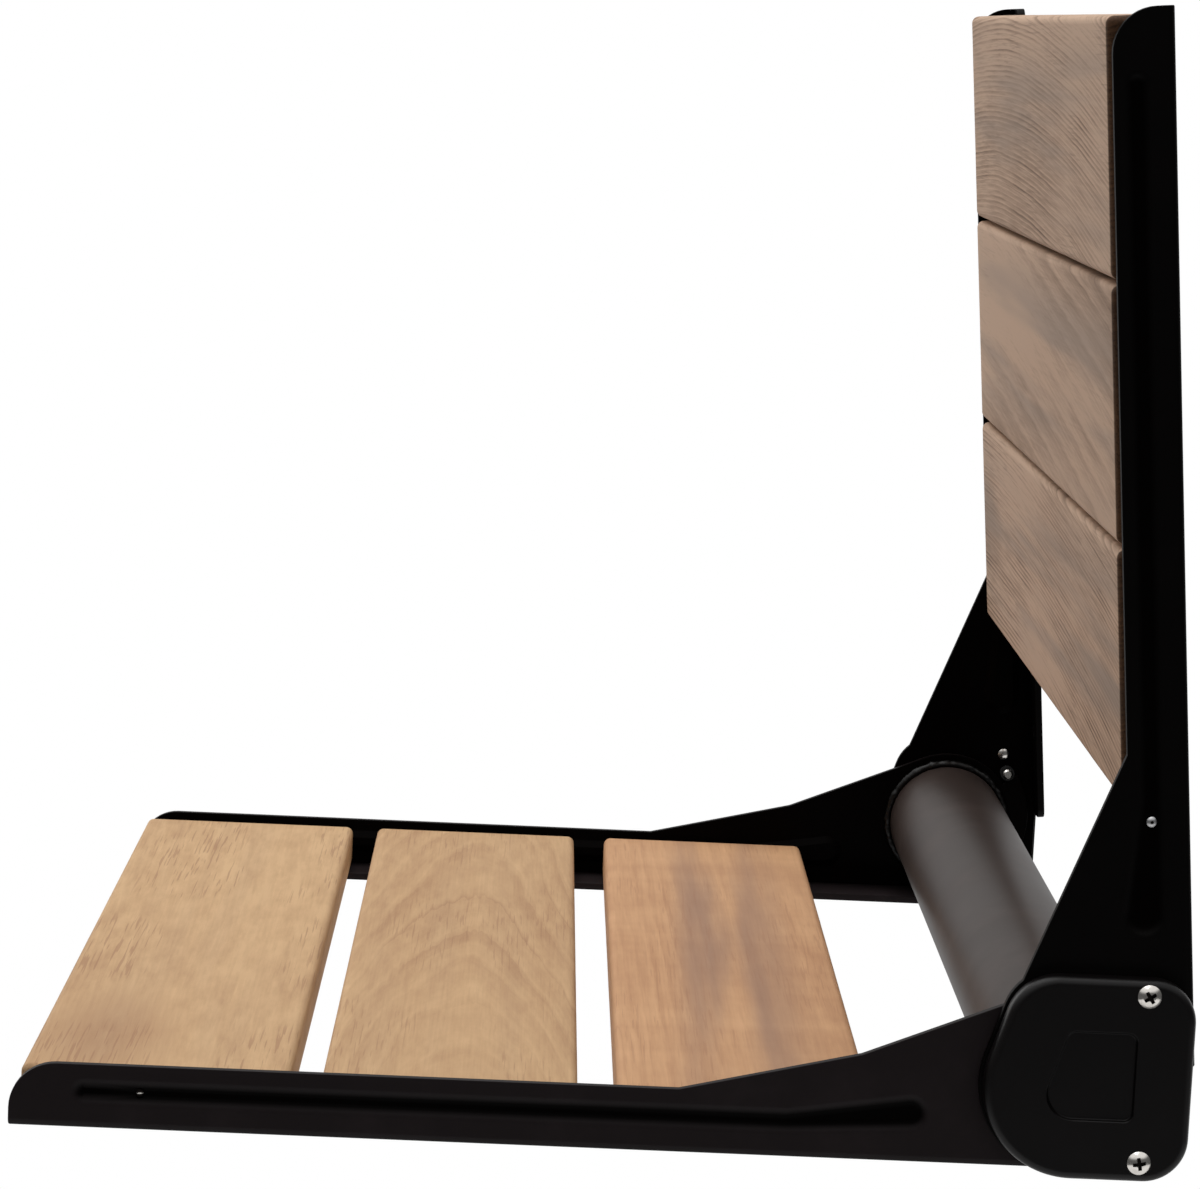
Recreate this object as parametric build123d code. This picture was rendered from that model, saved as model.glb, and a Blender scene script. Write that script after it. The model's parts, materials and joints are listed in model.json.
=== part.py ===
"""Wall-mounted fold-down shower seat with a slatted back.

Millimetres, +Z up. The wall is the plane Y = 0 and the seat reaches out along -Y.
X = 0 is the middle of the seat, and right is +X, as seen by someone facing it.
Z = 0 is the middle of the wall screws. The seat folds up about a hinge along X.
"""
from build123d import *
from math import asin, atan2, cos, degrees, hypot, radians, sin, tan
import os

# Width over the back rails and the stack of plates at each side
frame_width = 440.0
cap_depth = 6.5
sheet = 3.0
side_gap = 1.0
slat_end_gap = 2.8

# Hinge
pivot_from_wall = 42.5
pivot_below_screws = 57.6
seat_tilt = 4.88
bolt_radius = 6.0
bolt_running_gap = 0.05
bolt_head_radius = 10.0
bolt_head_height = 2.2
bolt_thread_radius = 5.0
bolt_thread_length = 15.0
bolt_socket_radius = 4.0
bolt_socket_depth = 1.4
bush_wall = 2.0
bush_flange_radius = 14.0
face_gap = 0.1
washer_radius = 12.0
washer_thickness = 0.8

# Seat rails, along the seat and square to it, measured from the pivot
seat_reach = 356.1
seat_rail_drop = 32.9
seat_rail_height = 22.4
seat_flange_width = 25.0
seat_flange_end = 4.0
flange_corner_radius = 4.0
seat_corner_radius = 16.0
seat_low_kink = 130.7
seat_high_kink = 69.7
seat_kink_rise = 14.5
rim_margin = 2.0
heel_wall_gap = 3.5

# Back rails
back_top = 297.7
back_rail_depth = 20.8
back_flange_width = 18.0
back_flange_drop = 55.8
back_corner_radius = 15.0
gusset_top = 51.7
gusset_angle = 25.9

# Pressed grooves of both rails
groove_radius = 4.0
groove_floor_radius = 0.9
groove_depth = 1.6
groove_from_edge = 12.9
seat_groove_start = 25.3
seat_flare_start = 94.1
seat_flare_end = 52.4
seat_flare_rise = 4.4
seat_flare_radius = 6.1
back_groove_start = 25.2
back_flare_top = 35.5
back_flare_bottom = 2.8
back_flare_shift = 3.1
back_flare_radius = 7.2

# Slats, the seat's from the front and the back's from the top
seat_slat_names = ("front", "middle", "rear")
front_slat_width = 90.8
seat_slat_width = 87.0
seat_slat_thickness = 17.0
front_slat_gap = 10.6
seat_slat_gap = 13.2
seat_slat_setback = 3.1
back_slat_names = ("top", "middle", "bottom")
back_slat_width = 86.2
back_slat_thickness = 19.0
back_slat_gap = 1.5
back_slat_below_top = 2.5
slat_round = 3.0
screw_from_slat_edge = 20.0

# Cross tube and its welds
tube_radius = 25.0
tube_wall = 2.0
plug_length = 20.0
weld_leg = 3.2

# End caps, square to the seat, measured from the pivot
cap_front = 30.1
cap_rear = 40.6
cap_top = 36.1
cap_bottom = 33.5
cap_lean = 18.0
# Corner radii run from the lower front corner round to the upper front one
cap_corner_radii = (31.0, 15.0, 15.0, 18.0)
cap_wall = 1.6
cap_edge_round = 3.0
lobe_margin = 1.0
recess_front = 7.3
recess_rear = 21.0
recess_top = 17.6
recess_bottom = 12.6
recess_corner_radii = (9.0, 3.0, 3.0, 3.0)
recess_depth = 1.4
cap_screw_behind = 24.1
cap_screw_above = 30.7
cap_screw_below = 26.5
cap_screw_radius = 2.4
cap_screw_head_radius = 4.0
cap_screw_head_height = 2.4
cap_screw_seat_depth = 0.4
cap_screw_tip = 0.6
cap_boss_radius = 4.4
hole_gap = 0.1

# Stop for the lowered seat, on the back rail, measured from the pivot
stop_angle = 36.3
stop_rim_gap = 1.3
stop_sleeve_radius = 3.0
stop_sleeve_length = 5.0
stop_pin_radius = 2.1
stop_pin_tip = 1.0
stop_pin_head_radius = 3.2
stop_pin_head_height = 1.6
stop_gap = 0.3

# Slat screws, rivets and wall screw holes
head_bevel = 0.6
slat_screw_radius = 2.0
slat_screw_head_radius = 3.8
slat_screw_head_height = 2.0
seat_screw_length = 15.0
back_screw_length = 17.0
rivet_radius = 1.2
rivet_head_radius = 1.8
rivet_head_height = 0.8
rivet_tail = 0.3
seat_rivet_from_front = 44.0
back_rivet_height = 28.6
wall_hole_radius = 3.0
wall_hole_spacing = 36.0

# Places that follow from the sizes above
back_outer = frame_width / 2
back_inner = back_outer - sheet
seat_outer = back_inner - side_gap
seat_inner = seat_outer - sheet
hinge = Pos(0, -pivot_from_wall, -pivot_below_screws)
seat_place = hinge * Rot(X=-seat_tilt)
rail_top = seat_rail_height - seat_rail_drop
rim_radius = tube_radius + weld_leg + rim_margin
stop_distance = rim_radius + stop_rim_gap + stop_sleeve_radius
stop_place = (stop_distance * cos(radians(stop_angle)), stop_distance * sin(radians(stop_angle)))
heel_radius = pivot_from_wall - sheet - heel_wall_gap
groove_offset = sheet * tan(atan2(groove_depth, groove_radius - groove_floor_radius) / 2)


def side_plate(outline, outer_x, thickness):
    """Plate whose outline lies across the seat's side, with its outer face at outer_x."""
    return extrude(Plane.YZ.offset(outer_x - thickness) * outline, thickness)


def across(x, point):
    """Plane square to X at a point of the side view, facing outwards."""
    return Plane(origin=(x, point[0], point[1]), x_dir=(0, 1, 0), z_dir=(1, 0, 0))


def bar(outer_x, inner_x, point, radius):
    """Round bar along X through a point of the side view."""
    return across(inner_x, point) * extrude(Circle(radius), outer_x - inner_x)


def mirrored(part):
    """The same piece on the left side."""
    return mirror(part, about=Plane.YZ)


def turned(point, angle):
    """A point of the side view turned about the pivot."""
    turn = radians(angle)
    return (point[0] * cos(turn) - point[1] * sin(turn), point[0] * sin(turn) + point[1] * cos(turn))


def on_back(point):
    """A point given along the seat and square to it, in the back's own axes from the pivot."""
    return turned(point, -seat_tilt)


def tapered_slot(start, start_radius, end, end_radius):
    """Face inside two circles and the two lines that touch both."""
    first, last = Vector(*start), Vector(*end)
    run = last - first
    along = run.normalized()
    side = Vector(-along.Y, along.X)
    lean = asin((start_radius - end_radius) / run.length)
    upper = along * sin(lean) + side * cos(lean)
    lower = along * sin(lean) - side * cos(lean)
    edges = [
        Line(first + upper * start_radius, last + upper * end_radius),
        ThreePointArc(last + upper * end_radius, last + along * end_radius, last + lower * end_radius),
        Line(last + lower * end_radius, first + lower * start_radius),
        ThreePointArc(
            first + lower * start_radius, first - along * start_radius, first + upper * start_radius
        ),
    ]
    return make_face(edges)


def groove_solid(outer_x, path, flare_radius, growth):
    """Sloped body of a groove: a straight run that flares out to its last point."""
    start, bend, end = path
    slope_run = groove_radius - groove_floor_radius
    run_radius = groove_radius + growth
    end_radius = flare_radius + growth
    body = None
    for near, far, far_radius in ((start, bend, run_radius), (bend, end, end_radius)):
        mouth = tapered_slot(near, run_radius, far, far_radius)
        floor = tapered_slot(near, run_radius - slope_run, far, far_radius - slope_run)
        faces = [Plane.YZ.offset(outer_x) * mouth, Plane.YZ.offset(outer_x - groove_depth) * floor]
        piece = loft(faces, ruled=True)
        body = piece if body is None else body + piece
    return body


def pressed(plate, outer_x, path, flare_radius):
    """Press a groove into a plate from its outer side: a hollow outside and a rib inside."""
    rib = groove_solid(outer_x - sheet, path, flare_radius, groove_offset)
    hollow = groove_solid(outer_x, path, flare_radius, 0.0)
    return plate + rib - hollow


def with_rivet_hole(plate, outer_x, point):
    """Flat round seat on the floor of a groove and the hole for its rivet."""
    inner_x = outer_x - sheet - groove_depth
    plate -= bar(outer_x, outer_x - groove_depth, point, rivet_head_radius + hole_gap)
    return plate - bar(outer_x, inner_x, point, rivet_radius)


def leaning_outline(front, rear, top, bottom, radii):
    """Four-sided outline about the pivot with a leaning front side and rounded corners."""
    slope = tan(radians(cap_lean))
    corners = [
        (-front - bottom * slope, -bottom),
        (rear, -bottom),
        (rear, top),
        (-front + top * slope, top),
    ]
    outline = make_face(Polyline(*corners, close=True))
    for corner, radius in zip(corners, radii):
        outline = fillet(outline.vertices().sort_by_distance((*corner, 0))[0], radius)
    return outline


def countersunk_screw(length):
    """Flat-headed screw along +Z with the flat of its head at Z = 0."""
    head = Pos(0, 0, slat_screw_head_height / 2) * Cone(
        slat_screw_head_radius, slat_screw_radius, slat_screw_head_height
    )
    shank = Cylinder(slat_screw_radius, length, align=(Align.CENTER, Align.CENTER, Align.MIN))
    return head + shank


def raised_head(radius, height):
    """Low head along +Z with a broad bevel, standing on Z = 0."""
    return chamfer(extrude(Circle(radius), height).edges().sort_by(Axis.Z)[-1], height * head_bevel)


def rounded_slat(length, width, thickness):
    """Slat along X with every edge rounded."""
    slat = Box(length, width, thickness)
    return fillet(slat.edges(), slat_round)


def seat_rail_outline():
    """Side view of a seat rail from the pivot, with the seat level."""
    front = -seat_reach
    bottom = -seat_rail_drop
    kink_top = rail_top + seat_kink_rise
    kink = (-seat_high_kink, kink_top)
    # The upper slope runs from the high kink to the round rim about the pivot
    reach = hypot(*kink)
    touch = atan2(kink[1], kink[0]) - radians(90) + asin(rim_radius / reach)
    touch_point = (rim_radius * cos(touch), rim_radius * sin(touch))
    strip = make_face(
        Polyline(
            (front, bottom),
            (0, bottom),
            (0, 0),
            touch_point,
            kink,
            (-seat_low_kink, rail_top),
            (front, rail_top),
            close=True,
        )
    )
    strip = fillet(strip.vertices().sort_by_distance((front, rail_top, 0))[0], seat_corner_radius)
    # The heel behind the pivot rises against the stop when the seat comes down
    half_angle = degrees(asin((stop_sleeve_radius + stop_gap) / stop_distance))
    heel_angle = stop_angle - half_angle + seat_tilt
    beyond = 2 * heel_radius
    bearing_end = turned((beyond, 0), heel_angle)
    below = make_face(Polyline((0, 0), bearing_end, (beyond, -beyond), (0, -beyond), close=True))
    heel = Pos(0, heel_radius - seat_rail_drop) * Circle(heel_radius) & below
    return strip + heel + Circle(rim_radius)


def make_seat_rail():
    """Right seat rail: pressed web, inward flange under the slats and the hinge hole."""
    rail = side_plate(seat_rail_outline(), seat_outer, sheet)
    flange_length = seat_reach - seat_flange_end
    flange = Box(seat_flange_width, flange_length, sheet, align=(Align.MAX, Align.MIN, Align.MIN))
    flange = fillet(flange.edges().filter_by(Axis.Z).group_by(Axis.X)[0], flange_corner_radius)
    rail += Pos(seat_outer, -seat_reach, -seat_rail_drop) * flange
    corner = Rectangle(sheet, sheet, align=(Align.MAX, Align.MIN)) - Pos(-sheet, sheet) * Circle(sheet)
    bend = Plane(origin=(seat_outer, -seat_flange_end, -seat_rail_drop), x_dir=(1, 0, 0), z_dir=(0, -1, 0))
    rail -= bend * extrude(corner, flange_length)
    groove_height = groove_from_edge - seat_rail_drop
    path = [
        (seat_groove_start - seat_reach, groove_height),
        (-seat_flare_start, groove_height),
        (-seat_flare_end, groove_height + seat_flare_rise),
    ]
    rail = pressed(rail, seat_outer, path, seat_flare_radius)
    rail = with_rivet_hole(rail, seat_outer, seat_rivet_point())
    rail -= bar(seat_outer, seat_inner, (0, 0), bolt_radius)
    for x, y in seat_screw_places():
        if x > 0:
            rail -= Pos(x, y, -seat_rail_drop) * countersunk_screw(sheet)
    return rail


def seat_rivet_point():
    """Rivet in the seat rail's groove, from the pivot."""
    return (seat_rivet_from_front - seat_reach, groove_from_edge - seat_rail_drop)


def back_rivet_point():
    """Rivet in the back rail's groove."""
    return (-groove_from_edge, back_rivet_height)


def seat_slat_widths():
    """Widths of the seat slats: the front one is a little wider."""
    return [front_slat_width] + [seat_slat_width] * (len(seat_slat_names) - 1)


def seat_slat_fronts():
    """Front edges of the seat slats, from the pivot."""
    gaps = [front_slat_gap] + [seat_slat_gap] * (len(seat_slat_names) - 2)
    fronts = [seat_slat_setback - seat_reach]
    for width, gap in zip(seat_slat_widths(), gaps):
        fronts.append(fronts[-1] + width + gap)
    return fronts


def seat_screw_places():
    """Screws through the seat flanges, as X and distance along the seat."""
    x = seat_inner - (seat_flange_width - sheet) / 2
    places = []
    for front, width in zip(seat_slat_fronts(), seat_slat_widths()):
        for inset in (screw_from_slat_edge, width - screw_from_slat_edge):
            places += [(x, front + inset), (-x, front + inset)]
    return places


def back_slat_tops():
    """Top edges of the back slats."""
    pitch = back_slat_width + back_slat_gap
    return [back_top - back_slat_below_top - pitch * i for i in range(len(back_slat_names))]


def back_screw_places():
    """Screws through the back flanges, as X and Z."""
    x = back_inner - (back_flange_width - sheet) / 2
    insets = (screw_from_slat_edge, back_slat_width - screw_from_slat_edge)
    return [(sx, top - inset) for top in back_slat_tops() for inset in insets for sx in (x, -x)]


def cap_screw_points():
    """Cap screws in the back's axes, from the pivot."""
    return [
        on_back((cap_screw_behind, cap_screw_above)),
        on_back((cap_screw_behind, -cap_screw_below)),
    ]


def lobe_outline():
    """Side view of the back rail's lower end, under the cap, from the pivot."""
    return leaning_outline(
        cap_front + lobe_margin,
        cap_rear - lobe_margin,
        cap_top + lobe_margin,
        cap_bottom,
        cap_corner_radii,
    )


def back_rail_outline():
    """Side view of a back rail in the part's own axes."""
    lobe = Pos(-pivot_from_wall, -pivot_below_screws) * Rot(Z=-seat_tilt) * lobe_outline()
    # The gusset's leaning edge ends inside the lobe, halfway between its top and the pivot
    foot_height = cap_top / 2 - pivot_below_screws
    foot_reach = back_rail_depth + (gusset_top - foot_height) * tan(radians(gusset_angle))
    strip = make_face(
        Polyline(
            (0, back_top),
            (-back_rail_depth, back_top),
            (-back_rail_depth, gusset_top),
            (-foot_reach, foot_height),
            (-pivot_from_wall, -pivot_below_screws),
            (-pivot_from_wall / 2, -back_flange_drop),
            (0, -back_flange_drop),
            close=True,
        )
    )
    strip = fillet(
        strip.vertices().sort_by_distance((-back_rail_depth, back_top, 0))[0], back_corner_radius
    )
    # Below the flange the rear edge steps in by the sheet's thickness
    tail = Pos(-sheet, -back_flange_drop) * Rectangle(
        pivot_from_wall, pivot_below_screws + cap_bottom, align=(Align.MIN, Align.MAX)
    )
    return strip + lobe - tail


def make_back_rail():
    """Right back rail: pressed web with a gusset and lobe, and a flange against the wall."""
    rail = side_plate(back_rail_outline(), back_outer, sheet)
    flange_length = back_top + back_flange_drop
    flange = Box(back_flange_width, sheet, flange_length, align=(Align.MAX, Align.MAX, Align.MIN))
    flange = fillet(flange.edges().filter_by(Axis.Y).group_by(Axis.X)[0], flange_corner_radius)
    rail += Pos(back_outer, 0, -back_flange_drop) * flange
    corner = Rectangle(sheet, sheet, align=(Align.MAX, Align.MAX)) - Pos(-sheet, -sheet) * Circle(sheet)
    rail -= Pos(back_outer, 0, -back_flange_drop) * extrude(corner, flange_length)
    groove_y = -groove_from_edge
    path = [
        (groove_y, back_top - back_groove_start),
        (groove_y, back_flare_top),
        (groove_y - back_flare_shift, -back_flare_bottom),
    ]
    rail = pressed(rail, back_outer, path, back_flare_radius)
    rail = with_rivet_hole(rail, back_outer, back_rivet_point())
    rail -= hinge * bar(back_outer, back_inner, (0, 0), bolt_radius + bolt_running_gap + bush_wall)
    for point in cap_screw_points():
        rail -= hinge * bar(back_outer, back_inner, point, cap_screw_radius + hole_gap)
    rail -= hinge * bar(back_outer, back_inner, stop_place, stop_pin_radius)
    into_front = Plane(origin=(0, 0, 0), x_dir=(1, 0, 0), z_dir=(0, -1, 0))
    for x, z in back_screw_places():
        if x > 0:
            rail -= into_front * Pos(x, z) * countersunk_screw(sheet)
    wall_x = back_inner - (back_flange_width - sheet) / 2
    for z in (-wall_hole_spacing / 2, wall_hole_spacing / 2):
        rail -= into_front * Pos(wall_x, z) * extrude(Circle(wall_hole_radius), sheet)
    return rail


def make_seat_slat(index):
    """One seat slat on the flanges of the seat rails, with its screw holes."""
    length = 2 * (seat_inner - slat_end_gap)
    front = seat_slat_fronts()[index]
    width = seat_slat_widths()[index]
    base = sheet - seat_rail_drop
    slat = rounded_slat(length, width, seat_slat_thickness)
    slat = Pos(0, front + width / 2, base + seat_slat_thickness / 2) * slat
    depth = seat_screw_length - sheet
    for x, y in seat_screw_places():
        if front < y < front + width:
            slat -= Pos(x, y, base) * extrude(Circle(slat_screw_radius), depth)
    return slat


def make_back_slat(index):
    """One back slat on the flanges of the back rails, with its screw holes."""
    length = 2 * (back_inner - slat_end_gap)
    top = back_slat_tops()[index]
    facing = Plane(
        origin=(0, -sheet - back_slat_thickness / 2, top - back_slat_width / 2),
        x_dir=(1, 0, 0),
        z_dir=(0, -1, 0),
    )
    slat = facing * rounded_slat(length, back_slat_width, back_slat_thickness)
    into_slat = Plane(origin=(0, -sheet, 0), x_dir=(1, 0, 0), z_dir=(0, -1, 0))
    for x, z in back_screw_places():
        if top - back_slat_width < z < top:
            hole = extrude(Circle(slat_screw_radius), back_screw_length - sheet)
            slat -= into_slat * Pos(x, z) * hole
    return slat


def make_end_cap():
    """Right end cap: hollow moulding with a sunk panel and two screw bosses."""
    outline = leaning_outline(cap_front, cap_rear, cap_top, cap_bottom, cap_corner_radii)
    panel = leaning_outline(recess_front, recess_rear, recess_top, recess_bottom, recess_corner_radii)
    shell = extrude(outline, cap_depth)
    shell = fillet(shell.faces().sort_by(Axis.Z)[-1].outer_wire().edges(), cap_edge_round)
    hollow = extrude(offset(outline, -cap_wall), cap_depth - cap_wall)
    ceiling_drop = cap_depth - recess_depth - cap_wall
    panel_wall = offset(panel, cap_wall)
    hollow -= Pos(0, 0, ceiling_drop) * extrude(panel_wall, cap_depth)
    places = [(cap_screw_behind, cap_screw_above), (cap_screw_behind, -cap_screw_below)]
    for place in places:
        hollow -= Pos(*place) * extrude(Circle(cap_boss_radius), cap_depth)
    shell -= hollow
    shell -= Pos(0, 0, cap_depth - recess_depth) * extrude(panel, recess_depth)
    seat_floor = cap_depth - cap_screw_seat_depth
    for place in places:
        shell -= Pos(*place) * extrude(Circle(cap_screw_radius + hole_gap), cap_depth)
        shell -= Pos(*place, seat_floor) * extrude(
            Circle(cap_screw_head_radius + hole_gap), cap_screw_seat_depth
        )
    return seat_place * (across(back_outer, (0, 0)) * shell)


def make_cap_screw(point):
    """Raised-head screw through the cap and the back rail, with a bevelled tip inside."""
    floor = cap_depth - cap_screw_seat_depth
    length = floor + sheet + cap_screw_tip
    head = Pos(0, 0, floor) * raised_head(cap_screw_head_radius, cap_screw_head_height)
    shank = Pos(0, 0, floor - length) * Cylinder(
        cap_screw_radius, length, align=(Align.CENTER, Align.CENTER, Align.MIN)
    )
    shank = chamfer(shank.edges().sort_by(Axis.Z)[0], cap_screw_tip * head_bevel)
    return hinge * (across(back_outer, point) * (head + shank))


def make_pivot_bush():
    """Flanged bush in the back rail, with its flange between the two rails."""
    bore = bolt_radius + bolt_running_gap
    sleeve = bar(back_outer, back_inner, (0, 0), bore + bush_wall)
    flange = bar(back_inner, seat_outer + face_gap, (0, 0), bush_flange_radius)
    return hinge * (sleeve + flange - bar(back_outer, seat_inner, (0, 0), bore))


def make_washer():
    """Friction washer under the head of the pivot bolt."""
    inner = back_outer + face_gap
    ring = bar(inner + washer_thickness, inner, (0, 0), washer_radius)
    return hinge * (ring - bar(inner + washer_thickness, inner, (0, 0), bolt_radius))


def make_pivot_bolt():
    """Shoulder bolt that the seat turns on, screwed into the tube's plug."""
    head_base = back_outer + face_gap + washer_thickness
    shoulder = bar(head_base, seat_inner, (0, 0), bolt_radius)
    thread = bar(seat_inner, seat_inner - bolt_thread_length, (0, 0), bolt_thread_radius)
    head = across(head_base, (0, 0)) * raised_head(bolt_head_radius, bolt_head_height)
    socket = extrude(RegularPolygon(bolt_socket_radius, 6), bolt_socket_depth)
    head -= across(head_base + bolt_head_height - bolt_socket_depth, (0, 0)) * socket
    return hinge * (shoulder + thread + head)


def make_tube_plug():
    """Plug welded inside the tube's end, tapped for the pivot bolt."""
    plug = bar(seat_inner, seat_inner - plug_length, (0, 0), tube_radius - tube_wall)
    return hinge * (plug - bar(seat_inner, seat_inner - plug_length, (0, 0), bolt_thread_radius))


def make_weld():
    """Fillet weld round the tube's end, against the seat rail."""
    bead = Plane.XZ * make_face(
        [
            Line((seat_inner, tube_radius), (seat_inner, tube_radius + weld_leg)),
            Line((seat_inner, tube_radius + weld_leg), (seat_inner - weld_leg, tube_radius)),
            Line((seat_inner - weld_leg, tube_radius), (seat_inner, tube_radius)),
        ]
    )
    return hinge * revolve(bead, Axis.X)


def make_tube():
    """Cross tube between the seat rails."""
    tube = bar(seat_inner, -seat_inner, (0, 0), tube_radius)
    return hinge * (tube - bar(seat_inner, -seat_inner, (0, 0), tube_radius - tube_wall))


def make_stop_sleeve():
    """Rubber sleeve that the heel of the seat rail comes up against."""
    inner = back_inner - stop_sleeve_length
    sleeve = bar(back_inner, inner, stop_place, stop_sleeve_radius)
    return hinge * (sleeve - bar(back_inner, inner, stop_place, stop_pin_radius))


def make_stop_pin():
    """Headed pin through the back rail that carries the rubber sleeve."""
    length = sheet + stop_sleeve_length + stop_pin_tip
    shank = Cylinder(stop_pin_radius, length, align=(Align.CENTER, Align.CENTER, Align.MAX))
    shank = chamfer(shank.edges().sort_by(Axis.Z)[0], stop_pin_tip * head_bevel)
    head = raised_head(stop_pin_head_radius, stop_pin_head_height)
    return hinge * (across(back_outer, stop_place) * (shank + head))


def make_rivet(outer_x, point):
    """Small domed rivet on the floor of a groove."""
    length = sheet + rivet_tail
    shank = Cylinder(rivet_radius, length, align=(Align.CENTER, Align.CENTER, Align.MAX))
    return across(outer_x - groove_depth, point) * (shank + raised_head(rivet_head_radius, rivet_head_height))


def pair(part):
    """A right-hand piece and its mirrored twin, as separate solids."""
    return Compound(children=[*part.solids(), *mirrored(part).solids()])


def save(name, part):
    """Write one named piece."""
    export_step(part, f"parts/{name}.step")


def save_pair(name, part):
    """Write a right-hand piece and its mirrored left-hand twin as two named pieces."""
    save(f"{name}_right", part)
    save(f"{name}_left", mirrored(part))


os.makedirs("parts", exist_ok=True)

# Wall frame
save_pair("back_rail", make_back_rail())
for index, name in enumerate(back_slat_names):
    save(f"back_slat_{name}", make_back_slat(index))
into_slat = Plane(origin=(0, 0, 0), x_dir=(1, 0, 0), z_dir=(0, -1, 0))
back_screws = [into_slat * Pos(x, z) * countersunk_screw(back_screw_length) for x, z in back_screw_places()]
save("back_slat_screws", Compound(children=[s for screw in back_screws for s in screw.solids()]))
save_pair("end_cap", make_end_cap())
cap_screws = [pair(make_cap_screw(point)) for point in cap_screw_points()]
save("cap_screws", Compound(children=[s for screw in cap_screws for s in screw.solids()]))
save_pair("pivot_bush", make_pivot_bush())
save_pair("stop_sleeve", make_stop_sleeve())
save_pair("stop_pin", make_stop_pin())
save("back_rail_rivets", pair(make_rivet(back_outer, back_rivet_point())))

# Seat
save_pair("seat_rail", seat_place * make_seat_rail())
for index, name in enumerate(seat_slat_names):
    save(f"seat_slat_{name}", seat_place * make_seat_slat(index))
seat_screws = [
    seat_place * Pos(x, y, -seat_rail_drop) * countersunk_screw(seat_screw_length)
    for x, y in seat_screw_places()
]
save("seat_slat_screws", Compound(children=[s for screw in seat_screws for s in screw.solids()]))
save("cross_tube", make_tube())
save_pair("tube_weld", make_weld())
save_pair("tube_plug", make_tube_plug())
save_pair("pivot_bolt", make_pivot_bolt())
save_pair("friction_washer", make_washer())
save("seat_rail_rivets", pair(seat_place * make_rivet(seat_outer, seat_rivet_point())))
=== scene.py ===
"""Wall-mounted fold-down shower seat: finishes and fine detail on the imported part."""

import json
from math import pi, radians

import bmesh
import bpy
from mathutils import Euler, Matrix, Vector

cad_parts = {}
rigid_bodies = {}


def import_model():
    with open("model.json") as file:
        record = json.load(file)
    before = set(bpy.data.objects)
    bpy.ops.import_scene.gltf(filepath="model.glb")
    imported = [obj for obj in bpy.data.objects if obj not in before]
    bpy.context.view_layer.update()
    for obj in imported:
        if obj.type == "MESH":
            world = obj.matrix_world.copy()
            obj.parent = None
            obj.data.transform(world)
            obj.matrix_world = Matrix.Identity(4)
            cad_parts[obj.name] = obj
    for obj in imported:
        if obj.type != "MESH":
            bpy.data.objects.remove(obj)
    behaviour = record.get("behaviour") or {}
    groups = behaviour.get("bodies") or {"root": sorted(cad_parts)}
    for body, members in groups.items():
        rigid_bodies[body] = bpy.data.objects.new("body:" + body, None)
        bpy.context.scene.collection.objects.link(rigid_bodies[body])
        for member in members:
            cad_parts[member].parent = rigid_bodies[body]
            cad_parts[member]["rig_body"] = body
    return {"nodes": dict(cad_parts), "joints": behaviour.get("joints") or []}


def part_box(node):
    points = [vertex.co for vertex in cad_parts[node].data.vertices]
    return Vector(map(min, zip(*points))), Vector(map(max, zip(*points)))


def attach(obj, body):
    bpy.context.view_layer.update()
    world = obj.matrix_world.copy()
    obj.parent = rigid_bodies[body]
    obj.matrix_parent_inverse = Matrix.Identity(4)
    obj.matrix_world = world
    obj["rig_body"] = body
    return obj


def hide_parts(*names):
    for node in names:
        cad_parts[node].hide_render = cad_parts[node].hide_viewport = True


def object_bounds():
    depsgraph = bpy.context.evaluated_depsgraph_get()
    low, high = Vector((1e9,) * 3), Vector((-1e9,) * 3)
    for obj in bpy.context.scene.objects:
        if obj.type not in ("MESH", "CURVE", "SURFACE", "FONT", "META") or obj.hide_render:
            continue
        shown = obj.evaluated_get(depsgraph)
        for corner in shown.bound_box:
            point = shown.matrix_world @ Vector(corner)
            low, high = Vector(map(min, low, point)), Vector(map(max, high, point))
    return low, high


bl_info = {
    "name": "Fold-down shower seat",
    "version": (1, 0, 0),
    "blender": (4, 5, 0),
    "location": "3D View > Sidebar > Shower Seat",
    "description": "Teak slats, black coated frame, screws and welds for a fold-down shower seat",
    "category": "Object",
}

for leftover in list(bpy.data.objects):
    bpy.data.objects.remove(leftover)
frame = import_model()
cad_low, cad_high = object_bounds()

HINGE = Vector(frame["joints"][0]["pos_m"])
SEAT_TURN = (radians(-4.88), 0.0, 0.0)
BACK_TURN = (pi / 2, 0.0, 0.0)
SIDES = ("left", "right")

# Kinds of socket
FLOAT = "NodeSocketFloat"
VECTOR = "NodeSocketVector"
COLOUR = "NodeSocketColor"
GEOMETRY = "NodeSocketGeometry"
MATERIAL = "NodeSocketMaterial"

# Corners this close are one corner, faces bent less than FLAT one face, and edges past SHARP stay sharp
MERGE = 1e-6
FLAT = radians(0.4)
SHARP = radians(32)
# Least and greatest bend at an edge to be rounded, in degrees, and the shortest run of such edges
PRESSED_BEND, PRESSED_RUN = (12.0, 45.0), 0.05
CUT_BEND, CUT_RUN = (60.0, 120.0), 0.06
# Depth behind a rail's outer face where the painted shade of the coat is blackest, that the groove stays
# within, and where the sheet has ended, and the least area of that face
GROOVE_SHADE = 0.0012
GROOVE_REACH = 0.0022
SHEET_SHADE = 0.0050
LARGE_FACE = 5e-4
# Box of a cap's sunk panel from the hinge, towards the back and up, and the depth that holds it
PANEL_BACK = (-0.0090, 0.0228)
PANEL_UP = (-0.0143, 0.0194)
PANEL_REACH = 0.0020
# How black the painted shade on the panel's walls is where they look down or back, and elsewhere
HIDDEN_WALL = 1.6
OPEN_WALL = 0.8
# Shares of a coat's gloss in the coat itself and in the clear layer that a sunk place lacks, taken away as
# painted shade
UNDER_GLOSS = 0.2
CLEAR_GLOSS = 1.6
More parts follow.
